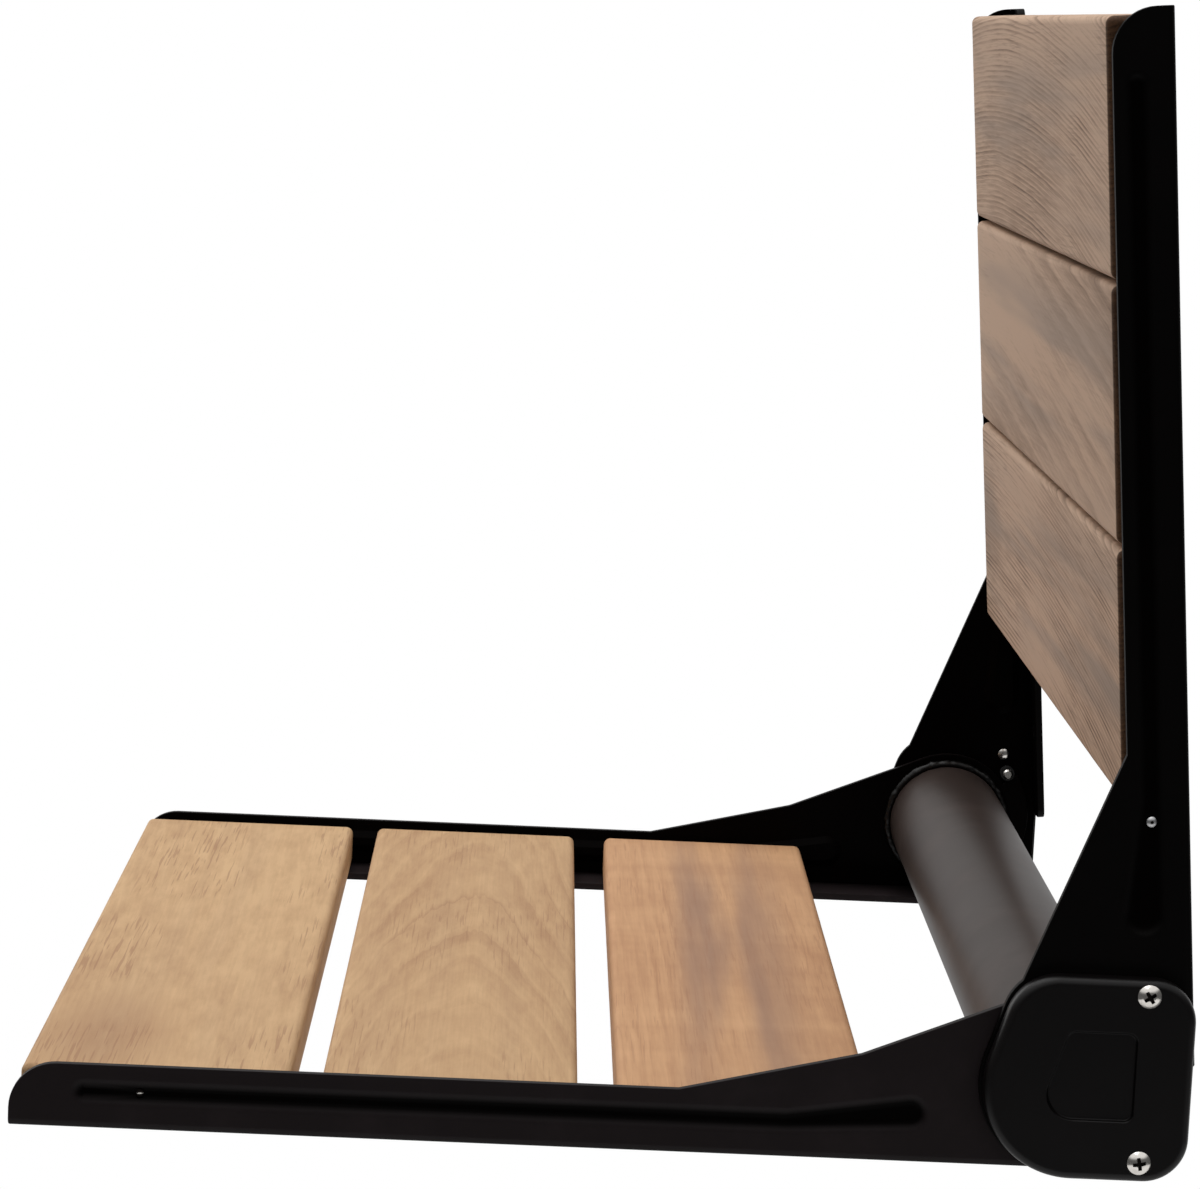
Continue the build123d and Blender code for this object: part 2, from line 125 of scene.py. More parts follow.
# How much paler dust makes a coat, as a factor and on top of it
DUST_GAIN = 1.4
DUST_LIFT = 0.0004
TEAK_GLOSS = 0.14
# Power of a screw head's dome, how much a cross recess narrows and what is left of a shank at its tip
DOME_POWER = 2.6
RECESS_TAPER = 0.38
TIP_SHARE = 0.62

# Plain, the warm tint on the gloss of the tube's coat, and the painted shade in a recess
WHITE = (1.0, 1.0, 1.0, 1.0)
WARM = (1.0, 0.86, 0.80, 1.0)
PAINTED_RECESS_SHADE = (0.030, 0.025, 0.022, 1.0)

# Half of the floor's side, how far from the seat it starts and ends to fade, and how white it looks
FLOOR_HALF = 1.0
FLOOR_FADE = (0.30, 0.78)
FLOOR_WHITE = 0.8

# How each slat was sawn: where the heart of the log lies from the middle of the slat, across its
# width and through its thickness, how the rings climb and bow along it, and how strongly it is marked
SLAT_CUTS = {
    "seat_slat_front": {
        "Spacing": 0.0042, "Heart Across": 0.075, "Heart Depth": -0.050, "Climb": 0.040, "Wander": 0.014,
        "Lines": 0.08, "Hatch": 0.24, "Pores": 0.80, "Mottle": 0.95, "Streaks": 0.10, "Streak Width": 0.060,
        "Blush": 1.0, "Blush Along": 0.165, "Blush Across": -0.022, "Seed": 3.1,
    },
    "seat_slat_middle": {
        "Spacing": 0.0056, "Heart Across": 0.004, "Heart Depth": -0.034, "Climb": -0.085, "Wander": 0.022,
        "Lines": 0.22, "Hatch": 0.30, "Pores": 0.60, "Mottle": 0.60, "Streaks": 0.08, "Streak Width": 0.060,
        "Tone": 0.03, "Seed": 11.7,
    },
    "seat_slat_rear": {
        "Spacing": 0.0030, "Heart Across": 0.060, "Heart Depth": -0.120, "Climb": 0.012, "Wander": 0.009,
        "Lines": 0.14, "Hatch": 0.26, "Pores": 0.40, "Mottle": 0.42, "Curl": 0.46, "Streaks": 0.80,
        "Streak Across": 0.002, "Streak Width": 0.034, "Streak Fineness": 44.0,
        "Stain": (1.05, 0.94, 0.93, 1.0), "Seed": 23.4,
    },
    # The back slats take the full end-grain darkening, which also paints the shade at their ends beside the
    # rails
    "back_slat_top": {
        "Spacing": 0.0019, "Heart Across": -0.100, "Heart Depth": -0.024, "Climb": 0.0, "Bow": 0.26,
        "Bow Along": -0.10, "Wander": 0.011, "Lines": 0.62, "Hatch": 1.10, "Pores": 0.40, "Mottle": 0.26,
        "Streaks": 0.65, "Streak Width": 0.048, "Clouds": 1.20, "Tone": -0.02, "Soak And Shade": 1.0, "Seed": 37.9,
    },
    "back_slat_middle": {
        "Spacing": 0.0095, "Heart Across": -0.110, "Heart Depth": -0.040, "Climb": 0.10, "Bow": 0.10,
        "Wander": 0.012, "Lines": 0.40, "Hatch": 0.70, "Pores": 0.20, "Mottle": 0.30, "Streaks": 0.72,
        "Streak Width": 0.048, "Streak Fineness": 55.0, "Clouds": 1.45, "Soak And Shade": 1.0, "Seed": 41.2,
    },
    "back_slat_bottom": {
        "Spacing": 0.0018, "Heart Across": -0.090, "Heart Depth": -0.030, "Climb": 0.045, "Bow": 0.12,
        "Wander": 0.009, "Lines": 0.66, "Hatch": 1.25, "Pores": 0.40, "Mottle": 0.26, "Streaks": 0.80,
        "Streak Width": 0.048, "Streak Fineness": 70.0, "Clouds": 1.60, "Blush": 0.8, "Blush Along": -0.205,
        "Tone": -0.09, "Soak And Shade": 1.0, "Seed": 58.6,
    },
}


class TeakSettings(bpy.types.PropertyGroup):
    """Sizes and colours of the slats."""

    seat_light: bpy.props.FloatVectorProperty(
        name="Seat light", description="Pale wood of the seat slats", subtype="COLOR",
        default=(0.674, 0.442, 0.237), min=0.0, max=1.0,
    )
    seat_dark: bpy.props.FloatVectorProperty(
        name="Seat dark", description="Late wood of the seat slats", subtype="COLOR",
        default=(0.345, 0.178, 0.098), min=0.0, max=1.0,
    )
    # The back slats take the seat's teak painted darker and greyer for the shade they stand in
    shaded_back_pale: bpy.props.FloatVectorProperty(
        name="Back light", description="Pale wood of the back slats", subtype="COLOR",
        default=(0.545, 0.368, 0.254), min=0.0, max=1.0,
    )
    shaded_back_late: bpy.props.FloatVectorProperty(
        name="Back dark", description="Late wood of the back slats", subtype="COLOR",
        default=(0.150, 0.091, 0.058), min=0.0, max=1.0,
    )
    grey: bpy.props.FloatVectorProperty(
        name="Seat grey", description="Weathered streaks along the seat's grain", subtype="COLOR",
        default=(0.300, 0.200, 0.145), min=0.0, max=1.0,
    )
    shaded_back_grey: bpy.props.FloatVectorProperty(
        name="Back grey", description="Weathered streaks along the back's grain", subtype="COLOR",
        default=(0.285, 0.215, 0.168), min=0.0, max=1.0,
    )
    edge_round: bpy.props.FloatProperty(
        name="Edge round", description="Radius of the slats' edges", default=0.003, unit="LENGTH",
        min=0.0005, precision=4,
    )
    sanding: bpy.props.FloatProperty(
        name="Sanding", description="Depth of the hand-sanded unevenness", default=0.00012,
        unit="LENGTH", min=0.0, precision=5,
    )


class CoatSettings(bpy.types.PropertyGroup):
    """Black coat of the frame and the moulded caps."""

    coat_colour: bpy.props.FloatVectorProperty(
        name="Coat", description="Black powder coat of the seat rails", subtype="COLOR",
        default=(0.0185, 0.0138, 0.0146), min=0.0, max=1.0,
    )
    # The coat painted darker as shade: on the back rails and welds, and in the grooves, inner faces and cap
    # panels
    shaded_coat_colour: bpy.props.FloatVectorProperty(
        name="Shaded coat", description="Black powder coat of back rails and welds", subtype="COLOR",
        default=(0.0015, 0.0010, 0.0009), min=0.0, max=1.0,
    )
    # The tube's coat is painted lighter and warmer to stand in for its sheen
    tube_sheen_colour: bpy.props.FloatVectorProperty(
        name="Tube", description="Black coat of the cross tube, painted lighter for its sheen", subtype="COLOR",
        default=(0.0360, 0.0260, 0.0226), min=0.0, max=1.0,
    )
    cap_colour: bpy.props.FloatVectorProperty(
        name="Caps", description="Black moulded caps", subtype="COLOR",
        default=(0.0025, 0.0016, 0.0017), min=0.0, max=1.0,
    )
    cut_edge: bpy.props.FloatProperty(
        name="Cut edge", description="Round that the coat gives a cut edge", default=0.0004,
        unit="LENGTH", min=0.0001, precision=5,
    )
    moulded_edge: bpy.props.FloatProperty(
        name="Moulded edge", description="Round of the caps' inner edges", default=0.0004,
        unit="LENGTH", min=0.0001, precision=5,
    )
    panel_edge: bpy.props.FloatProperty(
        name="Panel edge", description="Round of the caps' sunk panel", default=0.00064,
        unit="LENGTH", min=0.0001, precision=5,
    )
    pressed_edge: bpy.props.FloatProperty(
        name="Pressed edge", description="Round along a pressed groove", default=0.0009,
        unit="LENGTH", min=0.0001, precision=5,
    )
    ridge_edge: bpy.props.FloatProperty(
        name="Ridge edge", description="Round along the back of a pressed groove", default=0.0003,
        unit="LENGTH", min=0.0001, precision=5,
    )


class HardwareSettings(bpy.types.PropertyGroup):
    """Screws, rivets and welds."""

    cross_span: bpy.props.FloatProperty(
        name="Cross span", description="Length of a cross recess over the head's radius",
        default=1.46, min=0.2, max=1.8,
    )
    cross_width: bpy.props.FloatProperty(
        name="Cross width", description="Width of a recess arm over the head's radius",
        default=0.40, min=0.05, max=0.8,
    )
    ripples: bpy.props.IntProperty(
        name="Ripples", description="Ripples in the weld round the tube", default=21, min=8,
    )


class StageSettings(bpy.types.PropertyGroup):
    """Floor, lamps and camera."""

    floor_height: bpy.props.FloatProperty(
        name="Floor", description="Height of the floor below the wall screws", default=-0.52,
        unit="LENGTH",
    )
    sky_strength: bpy.props.FloatProperty(
        name="Sky", description="Even light from all round", default=0.45, min=0.0,
    )
    room_strength: bpy.props.FloatProperty(
        name="Room", description="Share of the light that comes from the room in front", default=0.12,
        min=0.0, max=1.0,
    )
    top_power: bpy.props.FloatProperty(
        name="Top lamp", description="Power of the soft box above", default=13.0, subtype="POWER",
    )
    front_power: bpy.props.FloatProperty(
        name="Front lamp", description="Power of the soft box in front", default=6.0, subtype="POWER",
    )
    camera_place: bpy.props.FloatVectorProperty(
        name="Camera", description="Place of the camera", default=(1.5190, -0.1989, 0.3006),
        subtype="TRANSLATION",
    )
    camera_turn: bpy.props.FloatVectorProperty(
        name="Camera turn", description="Turn of the camera", subtype="EULER",
        default=(radians(81.7721), radians(2.2660), radians(89.4398)),
    )
    camera_lens: bpy.props.FloatProperty(
        name="Lens", description="Focal length on a 36 mm sensor", default=119.45, min=10.0,
    )


def feed(tree, socket, value):
    """Join a node's output to a socket, or set the socket's own value."""
    if isinstance(value, bpy.types.NodeSocket):
        tree.links.new(value, socket)
    else:
        socket.default_value = value


def add(tree, kind, inputs=None, **settings):
    """Add a node with its settings and inputs."""
    made = tree.nodes.new(kind)
    for name, value in settings.items():
        setattr(made, name, value)
    for key, value in (inputs or {}).items():
        feed(tree, made.inputs[key], value)
    return made


def calc(tree, operation, *values, clamp=False):
    """One sum in a node tree."""
    made = add(tree, "ShaderNodeMath", operation=operation, use_clamp=clamp)
    for socket, value in zip(made.inputs, values):
        feed(tree, socket, value)
    return made.outputs[0]


def vector_calc(tree, operation, *values):
    """One vector sum in a node tree."""
    made = add(tree, "ShaderNodeVectorMath", operation=operation)
    for socket, value in zip(made.inputs, values):
        feed(tree, socket, value)
    return made.outputs[1] if operation == "LENGTH" else made.outputs[0]


def combine(tree, x, y, z):
    """Vector from three values."""
    return add(tree, "ShaderNodeCombineXYZ", {"X": x, "Y": y, "Z": z}).outputs[0]


def separate(tree, vector):
    """Three values of a vector."""
    return add(tree, "ShaderNodeSeparateXYZ", {"Vector": vector}).outputs


def ease(tree, value, low, high, to_low=0.0, to_high=1.0):
    """Smooth step from one value to another."""
    made = add(
        tree,
        "ShaderNodeMapRange",
        {"Value": value, "From Min": low, "From Max": high, "To Min": to_low, "To Max": to_high},
        interpolation_type="SMOOTHSTEP",
    )
    return made.outputs[0]


def noise(tree, vector, scale, detail=2.0, roughness=0.5):
    """Soft noise between 0 and 1."""
    made = add(
        tree,
        "ShaderNodeTexNoise",
        {"Vector": vector, "Scale": scale, "Detail": detail, "Roughness": roughness},
    )
    return made.outputs[0]


def blend(tree, factor, first, second, mode="MIX"):
    """Mix of two colours."""
    made = add(tree, "ShaderNodeMix", data_type="RGBA", blend_type=mode)
    feed(tree, made.inputs[0], factor)
    feed(tree, made.inputs[6], first)
    feed(tree, made.inputs[7], second)
    return made.outputs[2]


def new_tree(name, kind, inputs, outputs):
    """Node group with named sockets, and its two ends."""
    tree = bpy.data.node_groups.new(name, kind)
    for label, socket, default in inputs:
        made = tree.interface.new_socket(label, in_out="INPUT", socket_type=socket)
        if default is not None:
            made.default_value = default
    for label, socket in outputs:
        tree.interface.new_socket(label, in_out="OUTPUT", socket_type=socket)
    return tree, tree.nodes.new("NodeGroupInput").outputs, tree.nodes.new("NodeGroupOutput").inputs


def shared(name, build):
    """Node group by name, built the first time."""
    return bpy.data.node_groups.get(name) or build(name)


def colour(value):
    """Colour with its alpha."""
    return (*value, 1.0)


def build_teak(name):
    """Sawn teak in a slat's own axes: length, width, thickness."""
    tree, given, result = new_tree(
        name,
        "ShaderNodeTree",
        [
            ("Place", VECTOR, None),
            ("Light", COLOUR, None),
            ("Dark", COLOUR, None),
            ("Grey", COLOUR, None),
            ("Spacing", FLOAT, 0.0032),
            ("Heart Across", FLOAT, 0.0),
            ("Heart Depth", FLOAT, -0.05),
            ("Climb", FLOAT, 0.05),
            ("Bow", FLOAT, 0.0),
            ("Bow Along", FLOAT, 0.0),
            ("Wander", FLOAT, 0.01),
            ("Lines", FLOAT, 0.5),
            ("Hatch", FLOAT, 0.2),
            ("Pores", FLOAT, 0.5),
            ("Mottle", FLOAT, 0.4),
            ("Curl", FLOAT, 0.0),
            ("Streaks", FLOAT, 0.3),
            ("Streak Across", FLOAT, 0.0),
            ("Streak Width", FLOAT, 0.05),
            ("Streak Fineness", FLOAT, 70.0),
            ("Blush", FLOAT, 0.0),
            ("Blush Along", FLOAT, 0.0),
            ("Blush Across", FLOAT, 0.0),
            ("Tone", FLOAT, 0.0),
            ("Stain", COLOUR, WHITE),
            ("Seed", FLOAT, 0.0),
            ("Clouds", FLOAT, 0.60),
            ("Soak And Shade", FLOAT, 0.10),
            ("End Grain", FLOAT, 0.0),
        ],
        [("Colour", COLOUR), ("Height", FLOAT), ("Roughness", FLOAT)],
    )
    shift = combine(tree, given["Seed"], given["Seed"], given["Seed"])

    def stretched(along, across):
        """Place scaled along and across the slat, for a noise."""
        return vector_calc(tree, "MULTIPLY_ADD", given["Place"], (along, across, across), shift)

    def around(value, amount):
        """Swing of a noise about its middle."""
        return calc(tree, "MULTIPLY", calc(tree, "SUBTRACT", value, 0.5), amount)

    x, y, z = separate(tree, given["Place"])
    # Growth rings: distance from the wandering heart, climbing along the slat
    bend = around(noise(tree, stretched(2.6, 9.0), 1.0, 2.0), given["Wander"])
    sway = around(noise(tree, stretched(7.0, 22.0), 1.0, 2.0), calc(tree, "MULTIPLY", given["Wander"], 0.5))
    across = calc(tree, "SUBTRACT", calc(tree, "ADD", y, bend), given["Heart Across"])
    depth = calc(tree, "SUBTRACT", calc(tree, "ADD", z, sway), given["Heart Depth"])
    across_square = calc(tree, "MULTIPLY", across, across)
    reach = calc(tree, "SQRT", calc(tree, "MULTIPLY_ADD", depth, depth, across_square))
    climbed = calc(tree, "MULTIPLY_ADD", x, given["Climb"], reach)
    beyond = calc(tree, "SUBTRACT", x, given["Bow Along"])
    bowed = calc(tree, "MULTIPLY_ADD", calc(tree, "MULTIPLY", beyond, beyond), given["Bow"], climbed)
    ragged = calc(tree, "MULTIPLY", given["Spacing"], 0.28)
    rough_line = around(noise(tree, stretched(30.0, 420.0), 1.0, 2.0), ragged)
    rings = calc(tree, "DIVIDE", calc(tree, "ADD", bowed, rough_line), given["Spacing"])
    year = calc(tree, "FLOOR", rings)
    part = calc(tree, "SUBTRACT", rings, year)
    late = ease(tree, part, 0.40, 0.93)
    early = calc(tree, "SUBTRACT", 1.0, ease(tree, part, 0.0, 0.12))
    line = calc(tree, "MAXIMUM", late, early)
    strength = add(
        tree, "ShaderNodeTexWhiteNoise", {"W": calc(tree, "ADD", year, given["Seed"])}, noise_dimensions="1D"
    ).outputs["Value"]
    line = calc(tree, "MULTIPLY", line, ease(tree, strength, 0.1, 1.0, 0.12, 1.0))
    fade = ease(tree, noise(tree, stretched(9.0, 26.0), 1.0, 1.0), 0.30, 0.65, 0.25, 1.0)
    line = calc(tree, "MULTIPLY", line, fade)
    # A pale edge follows each dark line
    pale = calc(tree, "SUBTRACT", ease(tree, part, 0.10, 0.18), ease(tree, part, 0.18, 0.42))
    line = calc(tree, "SUBTRACT", line, calc(tree, "MULTIPLY", pale, 0.35))
    # Fine grain along the rings, fibre, mottle, curl, pores and weathered streaks
    reach_across = calc(tree, "DIVIDE", bowed, 0.0011)
    hatch_place = combine(tree, calc(tree, "MULTIPLY_ADD", x, 24.0, given["Seed"]), reach_across, z)
    hatch = noise(tree, hatch_place, 1.0, 3.0, 0.6)
    fibre = noise(tree, stretched(22.0, 1000.0), 1.0, 3.0, 0.6)
    mottle = noise(tree, stretched(34.0, 150.0), 1.0, 4.0, 0.62)
    tone = noise(tree, stretched(3.2, 13.0), 1.0, 2.0)
    curl = noise(tree, stretched(42.0, 10.0), 1.0, 2.0)
    patch = ease(tree, noise(tree, stretched(11.0, 30.0), 1.0, 1.0), 0.46, 0.60, 0.08, 1.0)
    pore = ease(tree, noise(tree, stretched(34.0, 1100.0), 1.0, 1.0), 0.58, 0.66)
    pore = calc(tree, "MULTIPLY", calc(tree, "MULTIPLY", pore, patch), given["Pores"])
    off = calc(tree, "ABSOLUTE", calc(tree, "SUBTRACT", y, given["Streak Across"]))
    off = calc(tree, "DIVIDE", off, given["Streak Width"])
    near = calc(tree, "SUBTRACT", 1.0, ease(tree, off, 0.2, 1.0))
    fine = combine(tree, 3.4, given["Streak Fineness"], given["Streak Fineness"])
    streak_place = vector_calc(tree, "MULTIPLY_ADD", given["Place"], fine, shift)
    streak = ease(tree, noise(tree, streak_place, 1.0, 2.0, 0.5), 0.38, 0.70)
    streak = calc(tree, "MULTIPLY", calc(tree, "MULTIPLY", streak, near), given["Streaks"])
    # A redder patch of heartwood
    ahead = calc(tree, "DIVIDE", calc(tree, "SUBTRACT", x, given["Blush Along"]), 0.075)
    aside = calc(tree, "DIVIDE", calc(tree, "SUBTRACT", y, given["Blush Across"]), 0.032)
    away = vector_calc(tree, "LENGTH", combine(tree, ahead, aside, 0.0))
    away = calc(tree, "ADD", away, around(mottle, 0.9))
    blush = calc(tree, "MULTIPLY", calc(tree, "SUBTRACT", 1.0, ease(tree, away, 0.2, 1.0)), given["Blush"])
    # Colour
    amount = calc(tree, "MULTIPLY", line, given["Lines"])
    amount = calc(tree, "ADD", amount, around(hatch, given["Hatch"]))
    amount = calc(tree, "ADD", amount, around(fibre, 0.34))
    amount = calc(tree, "ADD", amount, around(mottle, given["Mottle"]))
    amount = calc(tree, "ADD", amount, around(curl, given["Curl"]))
    amount = calc(tree, "ADD", amount, around(tone, given["Clouds"]))
    amount = calc(tree, "ADD", amount, given["Tone"])
    amount = calc(tree, "ADD", amount, 0.20, clamp=True)
    wood = blend(tree, amount, given["Light"], given["Dark"])
    wood = blend(tree, calc(tree, "MULTIPLY", blush, 0.40), wood, given["Dark"])
    wood = blend(tree, streak, wood, given["Grey"])
    wood = blend(tree, calc(tree, "MULTIPLY", pore, 0.65), wood, given["Dark"])
    wood = blend(tree, 1.0, wood, given["Stain"], "MULTIPLY")
    # End grain drinks more oil, and its pores show as dots; turned up on the back slats, the same darkening
    # also paints the shade at their ends
    dots = ease(tree, noise(tree, stretched(900.0, 1100.0), 1.0, 1.0), 0.50, 0.70, 0.18, 0.11)
    soaked_and_shaded = combine(tree, dots, calc(tree, "MULTIPLY", dots, 0.72), calc(tree, "MULTIPLY", dots, 0.50))
    ends = blend(tree, 1.0, wood, soaked_and_shaded, "MULTIPLY")
    wood = blend(tree, calc(tree, "MULTIPLY", given["End Grain"], given["Soak And Shade"]), wood, ends)
    feed(tree, result["Colour"], wood)
    height = calc(tree, "MULTIPLY_ADD", fibre, 0.5, calc(tree, "MULTIPLY", line, -0.10))
    height = calc(tree, "SUBTRACT", height, calc(tree, "MULTIPLY", pore, 0.6))
    feed(tree, result["Height"], height)
    feed(tree, result["Roughness"], calc(tree, "MULTIPLY_ADD", amount, 0.16, 0.62))
    return tree


def build_peel(name):
    """Orange peel of a sprayed or moulded surface."""
    tree, given, result = new_tree(
        name,
        "ShaderNodeTree",
        [("Place", VECTOR, None), ("Size", FLOAT, 0.0012), ("Smooth", FLOAT, 0.4),
         ("Rough", FLOAT, 0.5)],
        [("Height", FLOAT), ("Roughness", FLOAT), ("Dust", FLOAT)],
    )
    scale = calc(tree, "DIVIDE", 1.0, given["Size"])
    coarse = noise(tree, given["Place"], scale, 2.0)
    fine = noise(tree, given["Place"], calc(tree, "MULTIPLY", scale, 3.7), 1.0)
    feed(tree, result["Height"], calc(tree, "MULTIPLY_ADD", fine, 0.4, coarse))
    cloud = noise(tree, given["Place"], 14.0, 3.0)
    spread = calc(tree, "SUBTRACT", given["Rough"], given["Smooth"])
    feed(tree, result["Roughness"], calc(tree, "MULTIPLY_ADD", cloud, spread, given["Smooth"]))
    feed(tree, result["Dust"], ease(tree, noise(tree, given["Place"], 31.0, 4.0, 0.6), 0.45, 0.8))
    return tree


def build_scuff(name):
    """Fine turning marks and scuffs on bare metal."""
    tree, given, result = new_tree(
        name,
        "ShaderNodeTree",
        [("Place", VECTOR, None), ("Bright", COLOUR, None),
         ("Dull", COLOUR, None), ("Smooth", FLOAT, 0.2), ("Rough", FLOAT, 0.4)],
        [("Colour", COLOUR), ("Roughness", FLOAT), ("Height", FLOAT)],
    )
    blotch = noise(tree, given["Place"], 420.0, 3.0, 0.6)
    marks = noise(tree, vector_calc(tree, "MULTIPLY", given["Place"], (600.0, 4200.0, 1500.0)), 1.0, 2.0)
    feed(tree, result["Colour"], blend(tree, blotch, given["Bright"], given["Dull"]))
    spread = calc(tree, "SUBTRACT", given["Rough"], given["Smooth"])
    feed(tree, result["Roughness"], calc(tree, "MULTIPLY_ADD", blotch, spread, given["Smooth"]))
    feed(tree, result["Height"], marks)
    return tree


def new_material(name):
    """Material with its shader and the object's own coordinates."""
    material = bpy.data.materials.new(name)
    material.use_nodes = True
    tree = material.node_tree
    shader = next(node for node in tree.nodes if node.type == "BSDF_PRINCIPLED")
    place = add(tree, "ShaderNodeTexCoord").outputs["Object"]
    return material, tree, shader, place


def roughen(tree, shader, height, strength, distance):
    """Bump on a shader."""
    bump = add(tree, "ShaderNodeBump", {"Height": height, "Strength": strength, "Distance": distance})
    tree.links.new(bump.outputs[0], shader.inputs["Normal"])


def put_group(tree, group, inputs):
    """Place a shared group in a material."""
    return add(tree, "ShaderNodeGroup", inputs, node_tree=group).outputs


def teak(name, cut, light, dark, grey, centre, turn):
    """Oiled teak for one slat, sawn its own way."""
    material, tree, shader, place = new_material(name)
    local = add(
        tree,
        "ShaderNodeMapping",
        {"Vector": place, "Location": centre, "Rotation": turn},
        vector_type="TEXTURE",
    ).outputs[0]
    ends = add(tree, "ShaderNodeAttribute", attribute_name="end_grain").outputs["Fac"]
    grain = put_group(
        tree,
        shared("Sawn teak", build_teak),
        {
            "Place": local,
            "Light": colour(light),
            "Dark": colour(dark),
            "Grey": colour(grey),
            "End Grain": ends,
            **cut,
        },
    )
    tree.links.new(grain["Colour"], shader.inputs["Base Color"])
    tree.links.new(grain["Roughness"], shader.inputs["Roughness"])
    shader.inputs["Specular IOR Level"].default_value = TEAK_GLOSS
    roughen(tree, shader, grain["Height"], strength=0.20, distance=0.0002)
    return material


def coat(name, base, size, smooth, rough, specular, depth, sunk=None, tint=WHITE):
    """Sprayed or moulded black surface, with shade painted in as another colour and less gloss where it is
    sunk.
    """
    material = bpy.data.materials.get(name)
    if material:
        return material
    material, tree, shader, place = new_material(name)
    peel = put_group(
        tree,
        shared("Orange peel", build_peel),
        {"Place": place, "Size": size, "Smooth": smooth, "Rough": rough},
    )
    dusty = tuple(value * DUST_GAIN + DUST_LIFT for value in base)
    shown = blend(tree, peel["Dust"], colour(base), colour(dusty))
    shader.inputs["Specular IOR Level"].default_value = specular
    shader.inputs["Specular Tint"].default_value = tint
    if sunk:
        # Painted shade: where the sunk attribute marks it, a darker colour and less gloss
        inside = add(tree, "ShaderNodeAttribute", attribute_name="sunk").outputs["Fac"]
        shown = blend(tree, inside, shown, colour(sunk))
        shader.inputs["Specular IOR Level"].default_value = UNDER_GLOSS * specular
        shader.inputs["Coat Roughness"].default_value = (smooth + rough) / 2
        clear = calc(tree, "MULTIPLY_ADD", inside, -CLEAR_GLOSS * specular, CLEAR_GLOSS * specular)
        tree.links.new(clear, shader.inputs["Coat Weight"])
    tree.links.new(shown, shader.inputs["Base Color"])
    tree.links.new(peel["Roughness"], shader.inputs["Roughness"])
    roughen(tree, shader, peel["Height"], strength=0.25, distance=depth)
    return material


def bare_metal(name, bright, dull, smooth, rough):
    """Bare or plated metal."""
    material = bpy.data.materials.get(name)
    if material:
        return material
    material, tree, shader, place = new_material(name)
    scuff = put_group(
        tree,
        shared("Scuffed metal", build_scuff),
        {"Place": place, "Bright": colour(bright), "Dull": colour(dull), "Smooth": smooth, "Rough": rough},
    )
    # Painted shade darkens the recesses and the shanks marked dark
    recess = add(tree, "ShaderNodeAttribute", attribute_name="recess").outputs["Fac"]
    shown = blend(tree, recess, scuff["Colour"], PAINTED_RECESS_SHADE)
    tree.links.new(shown, shader.inputs["Base Color"])
    tree.links.new(scuff["Roughness"], shader.inputs["Roughness"])
    shader.inputs["Metallic"].default_value = 1.0
    roughen(tree, shader, scuff["Height"], strength=0.12, distance=0.00005)
    return material


def rail_coat():
    """Powder coat of the seat rails, with painted shade making it blacker and duller in the groove and on
    the inner face.
    """
    settings = bpy.context.scene.seat_coat
    return coat(
        "Black powder coat", settings.coat_colour, size=0.0011, smooth=0.40, rough=0.50, specular=0.13,
        depth=0.00004, sunk=settings.shaded_coat_colour,
    )


def shaded_coat():
    """The same coat on the back rails, painted a deeper black and duller for the shade they stand in."""
    deep = bpy.context.scene.seat_coat.shaded_coat_colour
    return coat(
        "Black coat with painted shade", deep, size=0.0011, smooth=0.40, rough=0.50, specular=0.08,
        depth=0.00004, sunk=deep,
    )


def tube_coat():
    """The same coat on the tube, painted a lighter warm grey with a warm tint on its gloss, for the sheen it
    shows along its length.
    """
    base = bpy.context.scene.seat_coat.tube_sheen_colour
    return coat(
        "Coat with painted sheen", base, size=0.0011, smooth=0.38, rough=0.48, specular=0.078,
        depth=0.00004, tint=WARM,
    )


def weld_coat():
    """The same coat, thinner and glossier over the welds, in the deeper black of the painted shade."""
    deep = bpy.context.scene.seat_coat.shaded_coat_colour
    return coat("Coat over weld", deep, size=0.0006, smooth=0.28, rough=0.42, specular=0.26, depth=0.00006)


def cap_plastic():
    """Spark-textured moulding, with painted shade on the walls of its sunk panel."""
    settings = bpy.context.scene.seat_coat
    return coat(
        "Moulded cap", settings.cap_colour, size=0.0007, smooth=0.34, rough=0.44, specular=0.25,
        depth=0.00003, sunk=settings.shaded_coat_colour,
    )


def bush_plastic():
    """Grey hinge bush."""
    grey = (0.045, 0.045, 0.047)
    return coat("Hinge bush", grey, size=0.0009, smooth=0.42, rough=0.55, specular=0.4, depth=0.00003)


def stop_rubber():
    """Dull black rubber of the stops."""
    black = (0.012, 0.012, 0.012)
    return coat("Stop rubber", black, size=0.0016, smooth=0.72, rough=0.86, specular=0.3, depth=0.00008)


def screw_steel():
    """Bright stainless screws."""
    return bare_metal("Bright steel", (0.80, 0.77, 0.73), (0.58, 0.55, 0.51), smooth=0.14, rough=0.30)


def hinge_steel():
    """Zinc-plated hinge parts."""
    return bare_metal("Plated steel", (0.60, 0.60, 0.60), (0.42, 0.42, 0.43), smooth=0.30, rough=0.46)


def body_of(node):
    """Body that a CAD node belongs to."""
    return frame["nodes"][node]["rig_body"]


def settle(piece, slot, *nodes):
    """Hand a finished piece to the frame in place of its CAD nodes."""
    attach(piece, body_of(nodes[0]))
    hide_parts(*nodes)


def plain_mesh(piece):
    """Turn what the modifiers show into the piece's own mesh."""
    depsgraph = bpy.context.evaluated_depsgraph_get()
    mesh = bpy.data.meshes.new_from_object(
        piece.evaluated_get(depsgraph), preserve_all_data_layers=True, depsgraph=depsgraph
    )
    piece.modifiers.clear()
    piece.data = mesh
    mesh.name = piece.name


